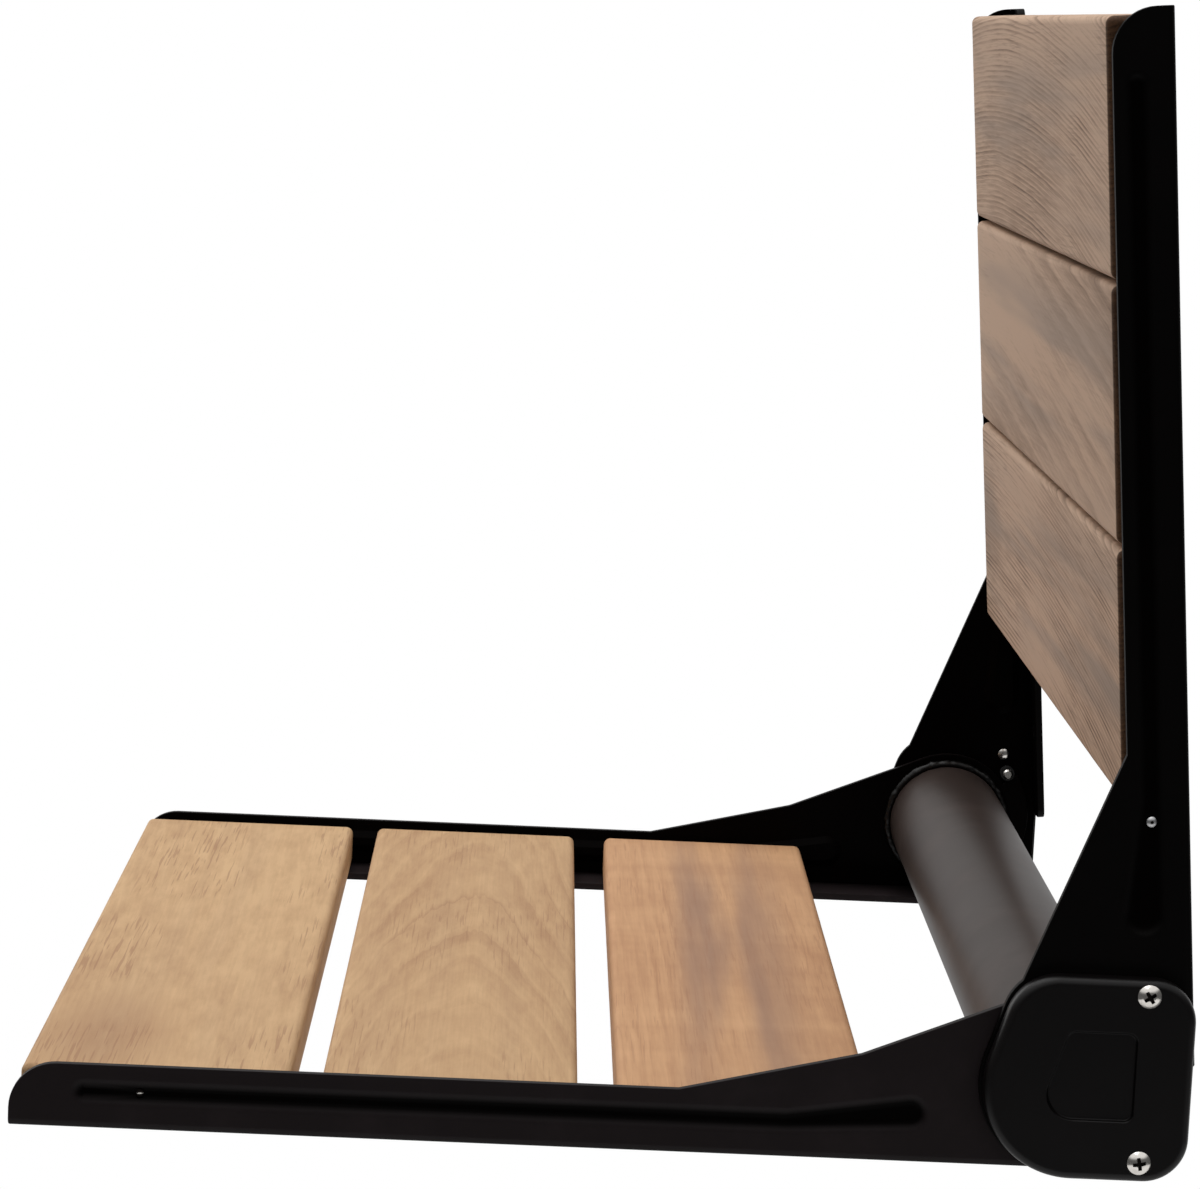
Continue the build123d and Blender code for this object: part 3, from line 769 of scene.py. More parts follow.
def merged(node):
    """Copy of a CAD node with its corners joined and its flat faces whole."""
    work = bmesh.new()
    work.from_mesh(frame["nodes"][node].data)
    bmesh.ops.remove_doubles(work, verts=work.verts, dist=MERGE)
    bmesh.ops.dissolve_limit(work, angle_limit=FLAT, verts=work.verts, edges=work.edges)
    return work


def long_runs(edges, least):
    """Those of the edges that join up into runs of at least this length."""
    left = set(edges)
    kept = []
    while left:
        run = [left.pop()]
        for edge in run:
            for vert in edge.verts:
                for other in vert.link_edges:
                    if other in left:
                        left.remove(other)
                        run.append(other)
        if sum(edge.calc_length() for edge in run) >= least:
            kept.extend(run)
    return kept


def soften(work, bend, radius, segments, least, chosen=lambda edge: True):
    """Round the chosen edges that bend this much and join up into long enough runs."""
    low, high = map(radians, bend)

    def between(edge):
        return edge.is_manifold and low < edge.calc_face_angle() <= high and chosen(edge)

    edges = long_runs([edge for edge in work.edges if between(edge)], least)
    # A corner where an inner and an outer edge meet can't be rounded cleanly
    inner = {vert for edge in edges if not edge.is_convex for vert in edge.verts}
    outer = {vert for edge in edges if edge.is_convex for vert in edge.verts}
    mixed = inner & outer
    edges = [edge for edge in edges if not mixed.intersection(edge.verts)]
    bmesh.ops.bevel(
        work, geom=edges, offset=radius, offset_type="OFFSET", segments=segments, profile=0.5,
        affect="EDGES", clamp_overlap=False, loop_slide=False,
    )


def outer_face(work):
    """How far out a rail's large outer face lies."""
    return max(abs(face.calc_center_median().x) for face in work.faces if face.calc_area() > LARGE_FACE)


def mark_painted_shade(work, outer):
    """Note how far a rail's corners lie behind its outer face, up to the back of the sheet, as painted shade
    for the groove and the inner face.
    """
    layer = work.verts.layers.float.new("sunk")
    for vert in work.verts:
        depth = outer - abs(vert.co.x)
        vert[layer] = min(1.0, max(0.0, depth) / GROOVE_SHADE) if depth < SHEET_SHADE else 0.0


def shade_panel(work, in_panel):
    """Note the panel's walls, blackest where they look down or back and the light doesn't reach."""
    layer = work.faces.layers.float.new("sunk")
    for face in work.faces:
        if in_panel(face):
            slope = face.normal.yz
            hidden = HIDDEN_WALL * max(slope[0], -slope[1])
            face[layer] = min(1.0, max(hidden, OPEN_WALL * slope.length))


def finish_mesh(name, work, material):
    """Plain piece from a worked mesh, smooth but for its sharp edges."""
    mesh = bpy.data.meshes.new(name)
    work.to_mesh(mesh)
    work.free()
    for layer in [found for found in mesh.attributes if found.name == "custom_normal"]:
        mesh.attributes.remove(layer)
    mesh.materials.clear()
    mesh.materials.append(material)
    mesh.shade_smooth()
    mesh.set_sharp_from_angle(angle=SHARP)
    piece = bpy.data.objects.new(name, mesh)
    bpy.context.scene.collection.objects.link(piece)
    weights = piece.modifiers.new("Even shading", "WEIGHTED_NORMAL")
    weights.keep_sharp = True
    plain_mesh(piece)
    return piece


def dressed(node, name, material, slot):
    """A CAD node with smooth faces and its finish."""
    settle(finish_mesh(name, merged(node), material), slot, node)


def set_inputs(modifier, tree, values):
    """Set a geometry tree's inputs by their identifiers."""
    for item in tree.interface.items_tree:
        if item.item_type == "SOCKET" and item.in_out == "INPUT" and item.name in values:
            modifier[item.identifier] = values[item.name]


def grown(name, tree, values, places=()):
    """Piece made by a geometry tree from these inputs, on places with their aim and turn."""
    start = bpy.data.meshes.new(name)
    start.from_pydata([place for place, aim, turn in places], [], [])
    if places:
        start.attributes.new("aim", "FLOAT_VECTOR", "POINT")
        start.attributes.new("turn", "FLOAT", "POINT")
        for index, (place, aim, turn) in enumerate(places):
            start.attributes["aim"].data[index].vector = aim
            start.attributes["turn"].data[index].value = turn
    piece = bpy.data.objects.new(name, start)
    bpy.context.scene.collection.objects.link(piece)
    modifier = piece.modifiers.new("Grow", "NODES")
    modifier.node_group = tree
    set_inputs(modifier, tree, values)
    plain_mesh(piece)
    return piece


def shade_by_angle(tree, geometry, angle):
    """Smooth faces, with edges past an angle kept sharp."""
    smooth = add(tree, "GeometryNodeSetShadeSmooth", {"Geometry": geometry})
    bend = add(tree, "GeometryNodeInputMeshEdgeAngle").outputs[0]
    sharp = add(
        tree,
        "GeometryNodeSetShadeSmooth",
        {"Selection": calc(tree, "GREATER_THAN", bend, angle), "Shade Smooth": False},
        domain="EDGE",
    )
    tree.links.new(smooth.outputs[0], sharp.inputs["Geometry"])
    return sharp.outputs[0]


def close_tree(tree, geometry, material, result):
    """End a geometry tree in plain faces with their material."""
    real = add(tree, "GeometryNodeRealizeInstances", {"Geometry": geometry}).outputs[0]
    final = add(tree, "GeometryNodeSetMaterial", {"Geometry": real, "Material": material}).outputs[0]
    tree.links.new(final, result["Geometry"])


def build_slat(name):
    """Slat with rounded edges, lightly uneven from hand sanding."""
    tree, given, result = new_tree(
        name,
        "GeometryNodeTree",
        [
            ("Geometry", GEOMETRY, None),
            ("Length", FLOAT, 0.42),
            ("Width", FLOAT, 0.087),
            ("Thickness", FLOAT, 0.0165),
            ("Round", FLOAT, 0.003),
            ("Sanding", FLOAT, 0.0001),
            ("Centre", VECTOR, None),
            ("Turn", VECTOR, None),
            ("Seed", FLOAT, 0.0),
            ("Material", MATERIAL, None),
        ],
        [("Geometry", GEOMETRY)],
    )
    block = add(
        tree,
        "GeometryNodeMeshCube",
        {"Size": (2.0, 2.0, 2.0), "Vertices X": 49, "Vertices Y": 21, "Vertices Z": 13},
    ).outputs[0]
    # Half of the block's rows go into the rounded edges, the rest into the flat faces
    spots, cores = [], []
    point = separate(tree, add(tree, "GeometryNodeInputPosition").outputs[0])
    for axis, size in zip(point, ("Length", "Width", "Thickness")):
        flat = calc(tree, "SUBTRACT", calc(tree, "MULTIPLY", given[size], 0.5), given["Round"])
        doubled = calc(tree, "MULTIPLY", calc(tree, "ABSOLUTE", axis), 2.0)
        inner = calc(tree, "MULTIPLY", calc(tree, "MINIMUM", doubled, 1.0), flat)
        outer = calc(tree, "MAXIMUM", calc(tree, "SUBTRACT", doubled, 1.0), 0.0)
        side = calc(tree, "SIGN", axis)
        spots.append(calc(tree, "MULTIPLY", calc(tree, "MULTIPLY_ADD", outer, given["Round"], inner), side))
        cores.append(calc(tree, "MULTIPLY", inner, side))
    spot, core = combine(tree, *spots), combine(tree, *cores)
    outward = vector_calc(tree, "NORMALIZE", vector_calc(tree, "SUBTRACT", spot, core))
    shift = vector_calc(tree, "ADD", spot, combine(tree, given["Seed"], 0.0, 0.0))
    dip = calc(tree, "MULTIPLY", noise(tree, shift, 55.0, 2.0), given["Sanding"])
    reach = calc(tree, "SUBTRACT", given["Round"], dip)
    rounded = vector_calc(tree, "MULTIPLY", outward, combine(tree, reach, reach, reach))
    surface = vector_calc(tree, "ADD", core, rounded)
    end = ease(tree, calc(tree, "ABSOLUTE", separate(tree, outward)[0]), 0.10, 0.45)
    marked = add(
        tree,
        "GeometryNodeStoreNamedAttribute",
        {"Geometry": block, "Name": "end_grain", "Value": end},
        data_type="FLOAT",
        domain="POINT",
    ).outputs[0]
    shaped = add(tree, "GeometryNodeSetPosition", {"Geometry": marked, "Position": surface}).outputs[0]
    turn = add(tree, "FunctionNodeEulerToRotation", {"Euler": given["Turn"]}).outputs[0]
    placed = add(
        tree,
        "GeometryNodeTransform",
        {"Geometry": shaped, "Translation": given["Centre"], "Rotation": turn},
    ).outputs[0]
    smooth = add(tree, "GeometryNodeSetShadeSmooth", {"Geometry": placed}).outputs[0]
    close_tree(tree, smooth, given["Material"], result)
    return tree


def on_places(tree, shape, given):
    """Copies of a shape on the given places, aimed and turned as these say."""
    aim = add(tree, "GeometryNodeInputNamedAttribute", {"Name": "aim"}, data_type="FLOAT_VECTOR").outputs[0]
    turn = add(tree, "GeometryNodeInputNamedAttribute", {"Name": "turn"}, data_type="FLOAT").outputs[0]
    facing = add(tree, "FunctionNodeAlignRotationToVector", {"Vector": aim}, axis="Z").outputs[0]
    spin = add(tree, "FunctionNodeAxisAngleToRotation", {"Axis": (0.0, 0.0, 1.0), "Angle": turn}).outputs[0]
    both = add(
        tree, "FunctionNodeRotateRotation", {"Rotation": facing, "Rotate By": spin}, rotation_space="LOCAL"
    ).outputs[0]
    return add(
        tree,
        "GeometryNodeInstanceOnPoints",
        {"Points": given["Geometry"], "Instance": shape, "Rotation": both},
    ).outputs[0]


def join(tree, *shapes):
    """Several shapes as one."""
    made = add(tree, "GeometryNodeJoinGeometry")
    for shape in shapes:
        tree.links.new(shape, made.inputs[0])
    return made.outputs[0]


def moved(tree, shape, height):
    """A shape lifted along its axis."""
    return add(
        tree, "GeometryNodeTransform", {"Geometry": shape, "Translation": combine(tree, 0.0, 0.0, height)}
    ).outputs[0]


def recessed(tree, shape, amount):
    """A shape marked with painted shade, as in a recess and on a dark shank."""
    return add(
        tree,
        "GeometryNodeStoreNamedAttribute",
        {"Geometry": shape, "Name": "recess", "Value": amount},
        data_type="FLOAT",
        domain="FACE",
    ).outputs[0]


def build_fastener(name):
    """Screw or rivet along its axis, with the top of its head at the place: domed or flat head,
    cross recess or round pit, shank and bevelled tip."""
    tree, given, result = new_tree(
        name,
        "GeometryNodeTree",
        [
            ("Geometry", GEOMETRY, None),
            ("Head Radius", FLOAT, 0.004),
            ("Head Height", FLOAT, 0.002),
            ("Foot Radius", FLOAT, 0.004),
            ("Dome", FLOAT, 0.5),
            ("Flatten", FLOAT, 1.0),
            ("Cross", "NodeSocketBool", True),
            ("Recess Span", FLOAT, 0.004),
            ("Recess Width", FLOAT, 0.001),
            ("Recess Depth", FLOAT, 0.001),
            ("Shank Radius", FLOAT, 0.002),
            ("Shank Length", FLOAT, 0.01),
            ("Tip", FLOAT, 0.001),
            ("Dark Shank", FLOAT, 0.0),
            ("Material", MATERIAL, None),
        ],
        [("Geometry", GEOMETRY)],
    )
    block = add(
        tree,
        "GeometryNodeMeshCone",
        {
            "Vertices": 40,
            "Side Segments": 1,
            "Fill Segments": 7,
            "Radius Top": given["Head Radius"],
            "Radius Bottom": given["Foot Radius"],
            "Depth": given["Head Height"],
        },
    )
    head = moved(tree, block.outputs["Mesh"], calc(tree, "MULTIPLY", given["Head Height"], -1.0))
    spot = add(tree, "GeometryNodeInputPosition").outputs[0]
    x, y, z = separate(tree, spot)
    out = calc(tree, "DIVIDE", vector_calc(tree, "LENGTH", combine(tree, x, y, 0.0)), given["Head Radius"])
    fall = calc(tree, "MULTIPLY", calc(tree, "POWER", out, DOME_POWER), given["Head Height"])
    fall = calc(tree, "MULTIPLY", fall, calc(tree, "MULTIPLY", given["Dome"], -1.0))
    head = add(
        tree,
        "GeometryNodeSetPosition",
        {"Geometry": head, "Selection": block.outputs["Top"], "Offset": combine(tree, 0.0, 0.0, fall)},
    ).outputs[0]
    # Cutter: two crossed wedges or a round pit
    deep = calc(tree, "MULTIPLY", given["Recess Depth"], 2.0)
    arms = []
    for wide, high in (("Recess Span", "Recess Width"), ("Recess Width", "Recess Span")):
        size = combine(tree, given[wide], given[high], deep)
        bar = add(tree, "GeometryNodeMeshCube", {"Size": size})
        below = calc(tree, "LESS_THAN", z, 0.0)
        narrow = vector_calc(tree, "MULTIPLY", spot, (-RECESS_TAPER, -RECESS_TAPER, 0.0))
        arms.append(
            add(
                tree,
                "GeometryNodeSetPosition",
                {"Geometry": bar.outputs[0], "Selection": below, "Offset": narrow},
            ).outputs[0]
        )
    pit = add(
        tree,
        "GeometryNodeMeshCylinder",
        {"Vertices": 20, "Radius": calc(tree, "MULTIPLY", given["Recess Width"], 0.5), "Depth": deep},
    ).outputs[0]
    crossed = add(tree, "GeometryNodeMeshBoolean", operation="UNION", solver="EXACT")
    for arm in arms:
        tree.links.new(arm, crossed.inputs["Mesh 2"])
    cutter = add(
        tree,
        "GeometryNodeSwitch",
        {"Switch": given["Cross"], "False": pit, "True": crossed.outputs[0]},
        input_type="GEOMETRY",
    ).outputs[0]
    cut = add(
        tree,
        "GeometryNodeMeshBoolean",
        {"Mesh 1": head, "Mesh 2": recessed(tree, cutter, 1.0)},
        operation="DIFFERENCE",
        solver="EXACT",
    ).outputs[0]
    flat = add(
        tree, "GeometryNodeTransform", {"Geometry": cut, "Scale": combine(tree, 1.0, given["Flatten"], 1.0)}
    ).outputs[0]
    straight = calc(tree, "SUBTRACT", given["Shank Length"], given["Tip"])
    shank = add(
        tree,
        "GeometryNodeMeshCone",
        {
            "Vertices": 28,
            "Radius Top": given["Shank Radius"],
            "Radius Bottom": given["Shank Radius"],
            "Depth": straight,
        },
    ).outputs["Mesh"]
    tip = add(
        tree,
        "GeometryNodeMeshCone",
        {
            "Vertices": 28,
            "Radius Top": given["Shank Radius"],
            "Radius Bottom": calc(tree, "MULTIPLY", given["Shank Radius"], TIP_SHARE),
            "Depth": given["Tip"],
        },
    ).outputs["Mesh"]
    foot = calc(tree, "MULTIPLY", calc(tree, "ADD", given["Head Height"], straight), -1.0)
    end = calc(tree, "SUBTRACT", foot, given["Tip"])
    stem = recessed(tree, join(tree, moved(tree, shank, foot), moved(tree, tip, end)), given["Dark Shank"])
    whole = shade_by_angle(tree, join(tree, flat, stem), SHARP)
    close_tree(tree, on_places(tree, whole, given), given["Material"], result)
    return tree


def build_weld(name):
    """Weld bead round a tube's end: a ring of overlapping ripples."""
    tree, given, result = new_tree(
        name,
        "GeometryNodeTree",
        [
            ("Geometry", GEOMETRY, None),
            ("Tube Radius", FLOAT, 0.0195),
            ("Leg", FLOAT, 0.0032),
            ("Ripples", "NodeSocketInt", 46),
            ("Material", MATERIAL, None),
        ],
        [("Geometry", GEOMETRY)],
    )
    grid = add(
        tree,
        "GeometryNodeMeshGrid",
        {
            "Size X": 1.0,
            "Size Y": 1.0,
            "Vertices X": calc(tree, "MULTIPLY_ADD", given["Ripples"], 10.0, 1.0),
            "Vertices Y": 21,
        },
    ).outputs[0]
    x, y, _ = separate(tree, add(tree, "GeometryNodeInputPosition").outputs[0])
    along = calc(tree, "MULTIPLY", x, 2.0 * pi)
    around = calc(tree, "MULTIPLY", y, 2.0 * pi)
    rise = calc(tree, "COSINE", around)
    # Each ripple is a crescent that laps over the one before it
    slant = calc(tree, "MULTIPLY", calc(tree, "MULTIPLY", rise, rise), 0.9)
    ring = combine(tree, calc(tree, "COSINE", along), calc(tree, "SINE", along), 0.0)
    warp = calc(tree, "MULTIPLY_ADD", noise(tree, ring, 5.0, 2.0), 5.0, slant)
    rate = calc(tree, "DIVIDE", given["Ripples"], 2.0 * pi)
    ripple = calc(tree, "FRACT", calc(tree, "MULTIPLY_ADD", along, rate, warp))
    lap = calc(tree, "MULTIPLY", calc(tree, "SINE", calc(tree, "MULTIPLY", ripple, pi)), 0.05)
    lump = calc(tree, "MULTIPLY", noise(tree, ring, 7.0, 3.0, 0.65), 0.66)
    thick = calc(tree, "ADD", calc(tree, "ADD", lap, lump), 0.24)
    thick = calc(tree, "MULTIPLY", thick, given["Leg"])
    middle = calc(tree, "MULTIPLY", given["Leg"], 0.30)
    out = calc(tree, "ADD", calc(tree, "MULTIPLY_ADD", thick, rise, middle), given["Tube Radius"])
    up = calc(tree, "MULTIPLY_ADD", thick, calc(tree, "SINE", around), middle)
    spot = combine(
        tree,
        calc(tree, "MULTIPLY", calc(tree, "COSINE", along), out),
        calc(tree, "MULTIPLY", calc(tree, "SINE", along), out),
        up,
    )
    bead = add(tree, "GeometryNodeSetPosition", {"Geometry": grid, "Position": spot}).outputs[0]
    closed = add(tree, "GeometryNodeMergeByDistance", {"Geometry": bead, "Distance": MERGE}).outputs[0]
    smooth = add(tree, "GeometryNodeSetShadeSmooth", {"Geometry": closed}).outputs[0]
    close_tree(tree, on_places(tree, smooth, given), given["Material"], result)
    return tree


def solids_of(node):
    """Corners of each separate solid of a CAD node."""
    work = merged(node)
    left = set(work.verts)
    solids = []
    while left:
        solid = [left.pop()]
        for vert in solid:
            for edge in vert.link_edges:
                other = edge.other_vert(vert)
                if other in left:
                    left.remove(other)
                    solid.append(other)
        solids.append([vert.co.copy() for vert in solid])
    work.free()

    def middle(solid):
        return tuple(round(value, 4) for value in sum(solid, Vector()) / len(solid))

    return sorted(solids, key=middle)


def span(points, axis):
    """Lowest and highest place of points along an axis."""
    places = [point.dot(axis) for point in points]
    return min(places), max(places)


def outer_end(solid, aim):
    """Middle of a fastener's outer end."""
    side = aim.orthogonal().normalized()
    other = aim.cross(side)
    middle = sum((axis * sum(span(solid, axis)) / 2 for axis in (side, other)), Vector())
    return middle + aim * span(solid, aim)[1]


def sideways(solid):
    """Outward direction of a fastener on the left or right side."""
    return Vector((1.0 if solid[0].x > 0 else -1.0, 0.0, 0.0))


def fasten(name, node, aim_of, turns, values, material):
    """Detailed fasteners in place of a CAD node's solids."""
    solids = solids_of(node)
    places = []
    for index, solid in enumerate(solids):
        aim = aim_of(solid)
        places.append((outer_end(solid, aim), aim, turns[index % len(turns)]))
    low, high = span(solids[-1], aim_of(solids[-1]))
    values = {
        "Shank Length": high - low - values["Head Height"],
        "Foot Radius": values["Head Radius"],
        "Flatten": 1.0,
        "Cross": True,
        "Tip": 0.0005,
        "Dark Shank": 0.0,
        **values,
        "Material": material,
    }
    piece = grown(name, shared("Screw or rivet", build_fastener), values, places)
    settle(piece, "screw_steel", node)


class ShowerSeatOperator:
    """Common settings of the operators."""

    bl_options = {"REGISTER", "UNDO"}


class SHOWERSEAT_OT_slats(ShowerSeatOperator, bpy.types.Operator):
    """Make the teak slats of the seat and the back"""

    bl_idname = "shower_seat.slats"
    bl_label = "Teak slats"

    def execute(self, context):
        settings = context.scene.seat_teak
        for node, cut in SLAT_CUTS.items():
            on_seat = node.startswith("seat")
            turn = SEAT_TURN if on_seat else BACK_TURN
            # The back slats take their teak colours painted darker for shade
            light = settings.seat_light if on_seat else settings.shaded_back_pale
            dark = settings.seat_dark if on_seat else settings.shaded_back_late
            grey = settings.grey if on_seat else settings.shaded_back_grey
            corners = [vert.co for vert in frame["nodes"][node].data.vertices]
            axes = Euler(turn).to_matrix().transposed()
            spans = [span(corners, axis) for axis in axes]
            centre = sum((axis * (low + high) / 2 for axis, (low, high) in zip(axes, spans)), Vector())
            size = [high - low for low, high in spans]
            name = "teak_" + node
            values = {
                "Length": size[0],
                "Width": size[1],
                "Thickness": size[2],
                "Round": settings.edge_round,
                "Sanding": settings.sanding,
                "Centre": centre,
                "Turn": turn,
                "Seed": cut["Seed"],
                "Material": teak(name, cut, light, dark, grey, centre, turn),
            }
            piece = grown(name, shared("Rounded slat", build_slat), values)
            settle(piece, "seat_wood" if on_seat else "back_wood", node)
        return {"FINISHED"}


class SHOWERSEAT_OT_rails(ShowerSeatOperator, bpy.types.Operator):
    """Make the coated rails with rounded cut edges and soft pressed grooves"""

    bl_idname = "shower_seat.rails"
    bl_label = "Coated rails"

    def execute(self, context):
        settings = context.scene.seat_coat
        # The back rails take the coat painted darker for the shade they stand in
        for rail, finish in (("back_rail", shaded_coat), ("seat_rail", rail_coat)):
            for side in SIDES:
                node = f"{rail}_{side}"
                work = merged(node)
                outer = outer_face(work)

                def outside(edge):
                    return all(abs(vert.co.x) > outer - GROOVE_REACH for vert in edge.verts)

                def inside(edge):
                    return not outside(edge)

                soften(work, PRESSED_BEND, settings.pressed_edge, 3, PRESSED_RUN, outside)
                soften(work, PRESSED_BEND, settings.ridge_edge, 2, PRESSED_RUN, inside)
                soften(work, CUT_BEND, settings.cut_edge, 2, CUT_RUN)
                # Paint shade into the groove and onto the inner face of the sheet
                mark_painted_shade(work, outer)
                settle(finish_mesh("coated_" + node, work, finish()), "frame_paint", node)
        return {"FINISHED"}


class SHOWERSEAT_OT_tube(ShowerSeatOperator, bpy.types.Operator):
    """Make the coated cross tube and the ripples of its welds"""

    bl_idname = "shower_seat.tube"
    bl_label = "Tube and welds"

    def execute(self, context):
        dressed("cross_tube", "coated_cross_tube", tube_coat(), "tube_paint")
        for side in SIDES:
            dressed(f"tube_plug_{side}", f"steel_tube_plug_{side}", hinge_steel(), "hinge_steel")
        low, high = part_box("tube_weld_right")
        leg = high.x - low.x
        places = []
        for sign in (-1.0, 1.0):
            places.append((Vector((sign * high.x, HINGE.y, HINGE.z)), Vector((-sign, 0.0, 0.0)), 0.4))
        values = {
            "Tube Radius": (high.z - low.z) / 2 - leg,
            "Leg": leg,
            "Ripples": context.scene.seat_hardware.ripples,
            "Material": weld_coat(),
        }
        piece = grown("tube_weld_beads", shared("Weld bead", build_weld), values, places)
        settle(piece, "weld_paint", "tube_weld_left", "tube_weld_right")
        return {"FINISHED"}


class SHOWERSEAT_OT_caps(ShowerSeatOperator, bpy.types.Operator):
    """Make the moulded end caps"""

    bl_idname = "shower_seat.caps"
    bl_label = "End caps"

    def execute(self, context):
        settings = context.scene.seat_coat
        for side in SIDES:
            node = f"end_cap_{side}"
            work = merged(node)
            face = max(abs(vert.co.x) for vert in work.verts) - PANEL_REACH

            def in_panel(part):
                return all(
                    abs(vert.co.x) > face
                    and PANEL_BACK[0] < vert.co.y - HINGE.y < PANEL_BACK[1]
                    and PANEL_UP[0] < vert.co.z - HINGE.z < PANEL_UP[1]
                    for vert in part.verts
                )

            soften(work, CUT_BEND, settings.panel_edge, 4, CUT_RUN, in_panel)
            soften(work, CUT_BEND, settings.moulded_edge, 4, CUT_RUN, lambda edge: not in_panel(edge))
            shade_panel(work, in_panel)
            settle(finish_mesh("moulded_" + node, work, cap_plastic()), "cap_plastic", node)
        return {"FINISHED"}


class SHOWERSEAT_OT_screws(ShowerSeatOperator, bpy.types.Operator):
    """Make the screws and rivets"""

    bl_idname = "shower_seat.screws"
    bl_label = "Screws and rivets"

    def execute(self, context):
        settings = context.scene.seat_hardware
        downward = Euler(SEAT_TURN).to_matrix() @ Vector((0.0, 0.0, -1.0))
        backward = Vector((0.0, 1.0, 0.0))
        head = 0.004
        cap_screw = {
            "Head Radius": head,
            "Head Height": 0.0024,
            "Dome": 0.72,
            "Recess Span": head * settings.cross_span,
            "Recess Width": head * settings.cross_width,
            "Recess Depth": 0.0014,
            "Shank Radius": 0.0024,
        }
        fasten("bright_cap_screws", "cap_screws", sideways, [0.2, 0.35, 0.1, 0.5], cap_screw, screw_steel())
        head = 0.0038
        slat_screw = {
            "Head Radius": head,
            "Head Height": 0.002,
            "Foot Radius": 0.002,
            "Dome": 0.0,
            "Recess Span": head * settings.cross_span,
            "Recess Width": head * settings.cross_width,
            "Recess Depth": 0.0011,
            "Shank Radius": 0.002,
            "Tip": 0.003,
        }
        turns = [0.1, 0.9, 0.4, 1.3, 0.7, 0.2, 1.1]
        for part, aim in (("seat", downward), ("back", backward)):
            fasten(
                f"bright_{part}_screws", f"{part}_slat_screws", lambda solid: aim, turns, slat_screw,
                screw_steel(),
            )
        rivet = {
            "Head Radius": 0.0018,
            "Head Height": 0.0008,
            "Dome": 0.8,
            "Cross": False,
            "Recess Width": 0.0011,
            "Recess Depth": 0.0004,
            "Shank Radius": 0.0012,
        }
        fasten("bright_back_rivets", "back_rail_rivets", sideways, [0.0], rivet, hinge_steel())
        rivet.update(
            {"Head Radius": 0.0013, "Flatten": 0.31, "Recess Depth": 0.0001, "Recess Width": 0.0003,
             "Dark Shank": 1.0}
        )
        fasten("bright_seat_rivets", "seat_rail_rivets", sideways, [pi / 2], rivet, screw_steel())
        return {"FINISHED"}


class SHOWERSEAT_OT_hinges(ShowerSeatOperator, bpy.types.Operator):
    """Finish the hinge bolts, washers, bushes and stops"""

    bl_idname = "shower_seat.hinges"
    bl_label = "Hinges and stops"

    def execute(self, context):
        parts = (
            ("steel", "pivot_bolt", hinge_steel, "hinge_steel"),
            ("steel", "friction_washer", hinge_steel, "hinge_steel"),
            ("plain", "pivot_bush", bush_plastic, "bush_plastic"),
            ("rubber", "stop_sleeve", stop_rubber, "stop_rubber"),
            ("bright", "stop_pin", screw_steel, "screw_steel"),
        )
        for side in SIDES:
            for look, part, finish, slot in parts:
                dressed(f"{part}_{side}", f"{look}_{part}_{side}", finish(), slot)
        return {"FINISHED"}


def seen_white(tree, lit, white, result, share=1.0):
    """Show a share of white to the eye, to gloss and through glass, and keep the other shader for light."""
    path = add(tree, "ShaderNodeLightPath").outputs
    seen = calc(tree, "ADD", path["Is Camera Ray"], path["Is Glossy Ray"])
    seen = calc(tree, "ADD", seen, path["Is Transmission Ray"], clamp=True)
    seen = calc(tree, "MULTIPLY", seen, share)
    mixed = add(tree, "ShaderNodeMixShader", {0: seen, 1: lit, 2: white}).outputs[0]
    tree.links.new(mixed, result)


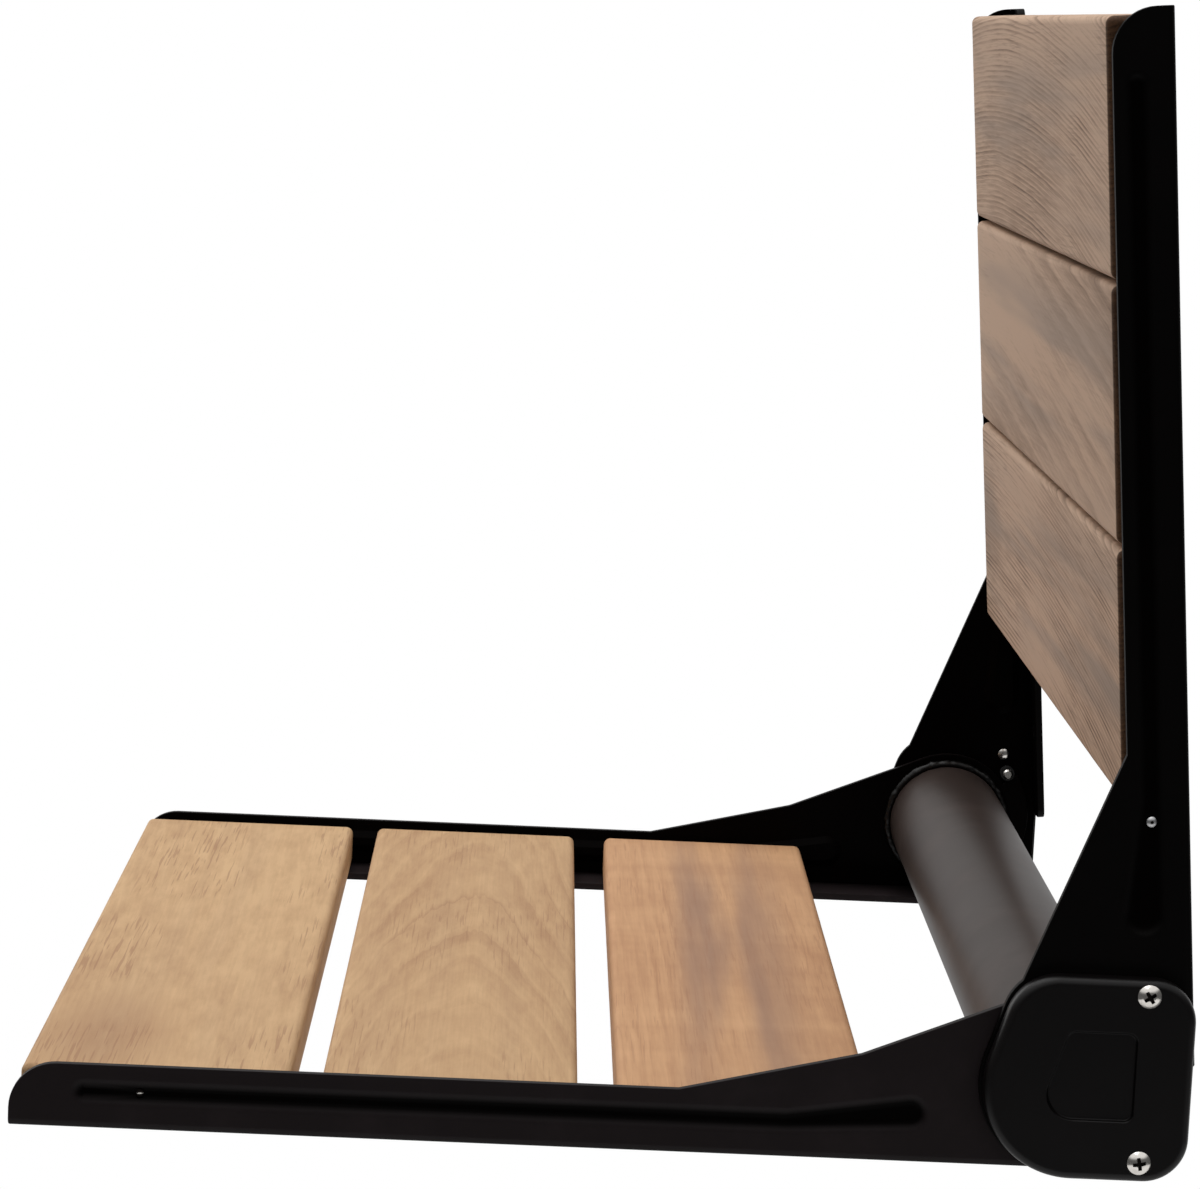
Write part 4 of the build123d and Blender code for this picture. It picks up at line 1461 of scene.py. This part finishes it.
class SHOWERSEAT_OT_stage(ShowerSeatOperator, bpy.types.Operator):
    """Make the floor, the soft lamps, the white surround and the camera"""

    bl_idname = "shower_seat.stage"
    bl_label = "Stage"

    def execute(self, context):
        scene = context.scene
        settings = scene.seat_stage
        scene.view_settings.view_transform = "Standard"
        self.surround(scene, settings)
        self.floor(scene, settings)
        middle = (cad_low + cad_high) / 2
        above, in_front = (0.05, -0.25, 1.45), (-0.9, -1.35, 0.75)
        self.lamp(scene, "soft_box_above", above, middle, size=1.5, power=settings.top_power)
        self.lamp(scene, "soft_box_in_front", in_front, middle, size=1.1, power=settings.front_power)
        camera = bpy.data.cameras.new("photo_camera")
        camera.lens = settings.camera_lens
        camera.sensor_width = 36.0
        camera.clip_start = 0.05
        holder = bpy.data.objects.new("photo_camera", camera)
        holder.location = settings.camera_place
        holder.rotation_euler = settings.camera_turn
        scene.collection.objects.link(holder)
        scene.camera = holder
        return {"FINISHED"}

    def surround(self, scene, settings):
        """White world that lights the seat softly."""
        world = bpy.data.worlds.new("White surround")
        world.use_nodes = True
        tree = world.node_tree
        tree.nodes.clear()
        # A white backdrop stands behind and above, and the room in front is dim
        x, _, z = separate(tree, add(tree, "ShaderNodeTexCoord").outputs["Generated"])
        bright = calc(tree, "MAXIMUM", ease(tree, z, 0.25, 0.60), ease(tree, x, -0.15, -0.60))
        level = calc(tree, "MULTIPLY_ADD", bright, 1.0 - settings.room_strength, settings.room_strength)
        sky = calc(tree, "MULTIPLY", level, settings.sky_strength)
        lit = add(tree, "ShaderNodeBackground", {"Color": WHITE, "Strength": sky}).outputs[0]
        path = add(tree, "ShaderNodeLightPath").outputs
        strength = calc(tree, "MAXIMUM", level, path["Is Camera Ray"])
        white = add(tree, "ShaderNodeBackground", {"Color": WHITE, "Strength": strength}).outputs[0]
        seen_white(tree, lit, white, add(tree, "ShaderNodeOutputWorld").inputs["Surface"])
        scene.world = world

    def floor(self, scene, settings):
        """Plain pale floor well below the seat."""
        mesh = bpy.data.meshes.new("pale_floor")
        corners = [(-1.0, -1.0), (1.0, -1.0), (1.0, 1.0), (-1.0, 1.0)]
        places = [(FLOOR_HALF * x, FLOOR_HALF * y, settings.floor_height) for x, y in corners]
        mesh.from_pydata(places, [], [(0, 1, 2, 3)])
        material = bpy.data.materials.new("Pale floor")
        material.use_nodes = True
        tree = material.node_tree
        tree.nodes.clear()
        lit = add(tree, "ShaderNodeBsdfDiffuse", {"Color": (0.80, 0.80, 0.80, 1.0)}).outputs[0]
        white = add(tree, "ShaderNodeEmission", {"Color": WHITE, "Strength": 1.0}).outputs[0]
        # The rest of the floor's own light keeps the seat's shadow, and fades out before the floor ends
        x, y, _ = separate(tree, add(tree, "ShaderNodeTexCoord").outputs["Object"])
        under = (cad_low.y + cad_high.y) / 2
        away = vector_calc(tree, "LENGTH", combine(tree, x, calc(tree, "SUBTRACT", y, under), 0.0))
        share = ease(tree, away, *FLOOR_FADE, FLOOR_WHITE, 1.0)
        seen_white(tree, lit, white, add(tree, "ShaderNodeOutputMaterial").inputs["Surface"], share)
        mesh.materials.append(material)
        piece = bpy.data.objects.new("pale_floor", mesh)
        scene.collection.objects.link(piece)

    def lamp(self, scene, name, place, target, size, power):
        """Square soft box aimed at the seat."""
        light = bpy.data.lights.new(name, "AREA")
        light.size = size
        light.energy = power
        holder = bpy.data.objects.new(name, light)
        holder.location = place
        holder.rotation_euler = (target - Vector(place)).to_track_quat("-Z", "Y").to_euler()
        holder.visible_camera = False
        scene.collection.objects.link(holder)


class SHOWERSEAT_PT_panel(bpy.types.Panel):
    """Steps and settings of the shower seat"""

    bl_idname = "SHOWERSEAT_PT_panel"
    bl_label = "Shower Seat"
    bl_space_type = "VIEW_3D"
    bl_region_type = "UI"
    bl_category = "Shower Seat"

    def draw(self, context):
        for step in STEPS:
            self.layout.operator(step.bl_idname)
        for label in SETTINGS:
            group = getattr(context.scene, label)
            box = self.layout.box()
            for name in group.bl_rna.properties.keys():
                if name not in ("rna_type", "name"):
                    box.prop(group, name)


STEPS = (
    SHOWERSEAT_OT_stage,
    SHOWERSEAT_OT_slats,
    SHOWERSEAT_OT_rails,
    SHOWERSEAT_OT_tube,
    SHOWERSEAT_OT_caps,
    SHOWERSEAT_OT_screws,
    SHOWERSEAT_OT_hinges,
)
SETTINGS = {
    "seat_teak": TeakSettings,
    "seat_coat": CoatSettings,
    "seat_hardware": HardwareSettings,
    "seat_stage": StageSettings,
}


def register():
    """Add the classes and their settings to Blender."""
    for made in (*SETTINGS.values(), *STEPS, SHOWERSEAT_PT_panel):
        bpy.utils.register_class(made)
    for label, group in SETTINGS.items():
        setattr(bpy.types.Scene, label, bpy.props.PointerProperty(type=group))


def unregister():
    """Take the classes and their settings out again."""
    for label in SETTINGS:
        delattr(bpy.types.Scene, label)
    for made in reversed((*SETTINGS.values(), *STEPS, SHOWERSEAT_PT_panel)):
        bpy.utils.unregister_class(made)


def main():
    """Run every step in order."""
    register()
    bpy.ops.shower_seat.stage()
    bpy.ops.shower_seat.slats()
    bpy.ops.shower_seat.rails()
    bpy.ops.shower_seat.tube()
    bpy.ops.shower_seat.caps()
    bpy.ops.shower_seat.screws()
    bpy.ops.shower_seat.hinges()


if __name__ == "__main__":
    main()
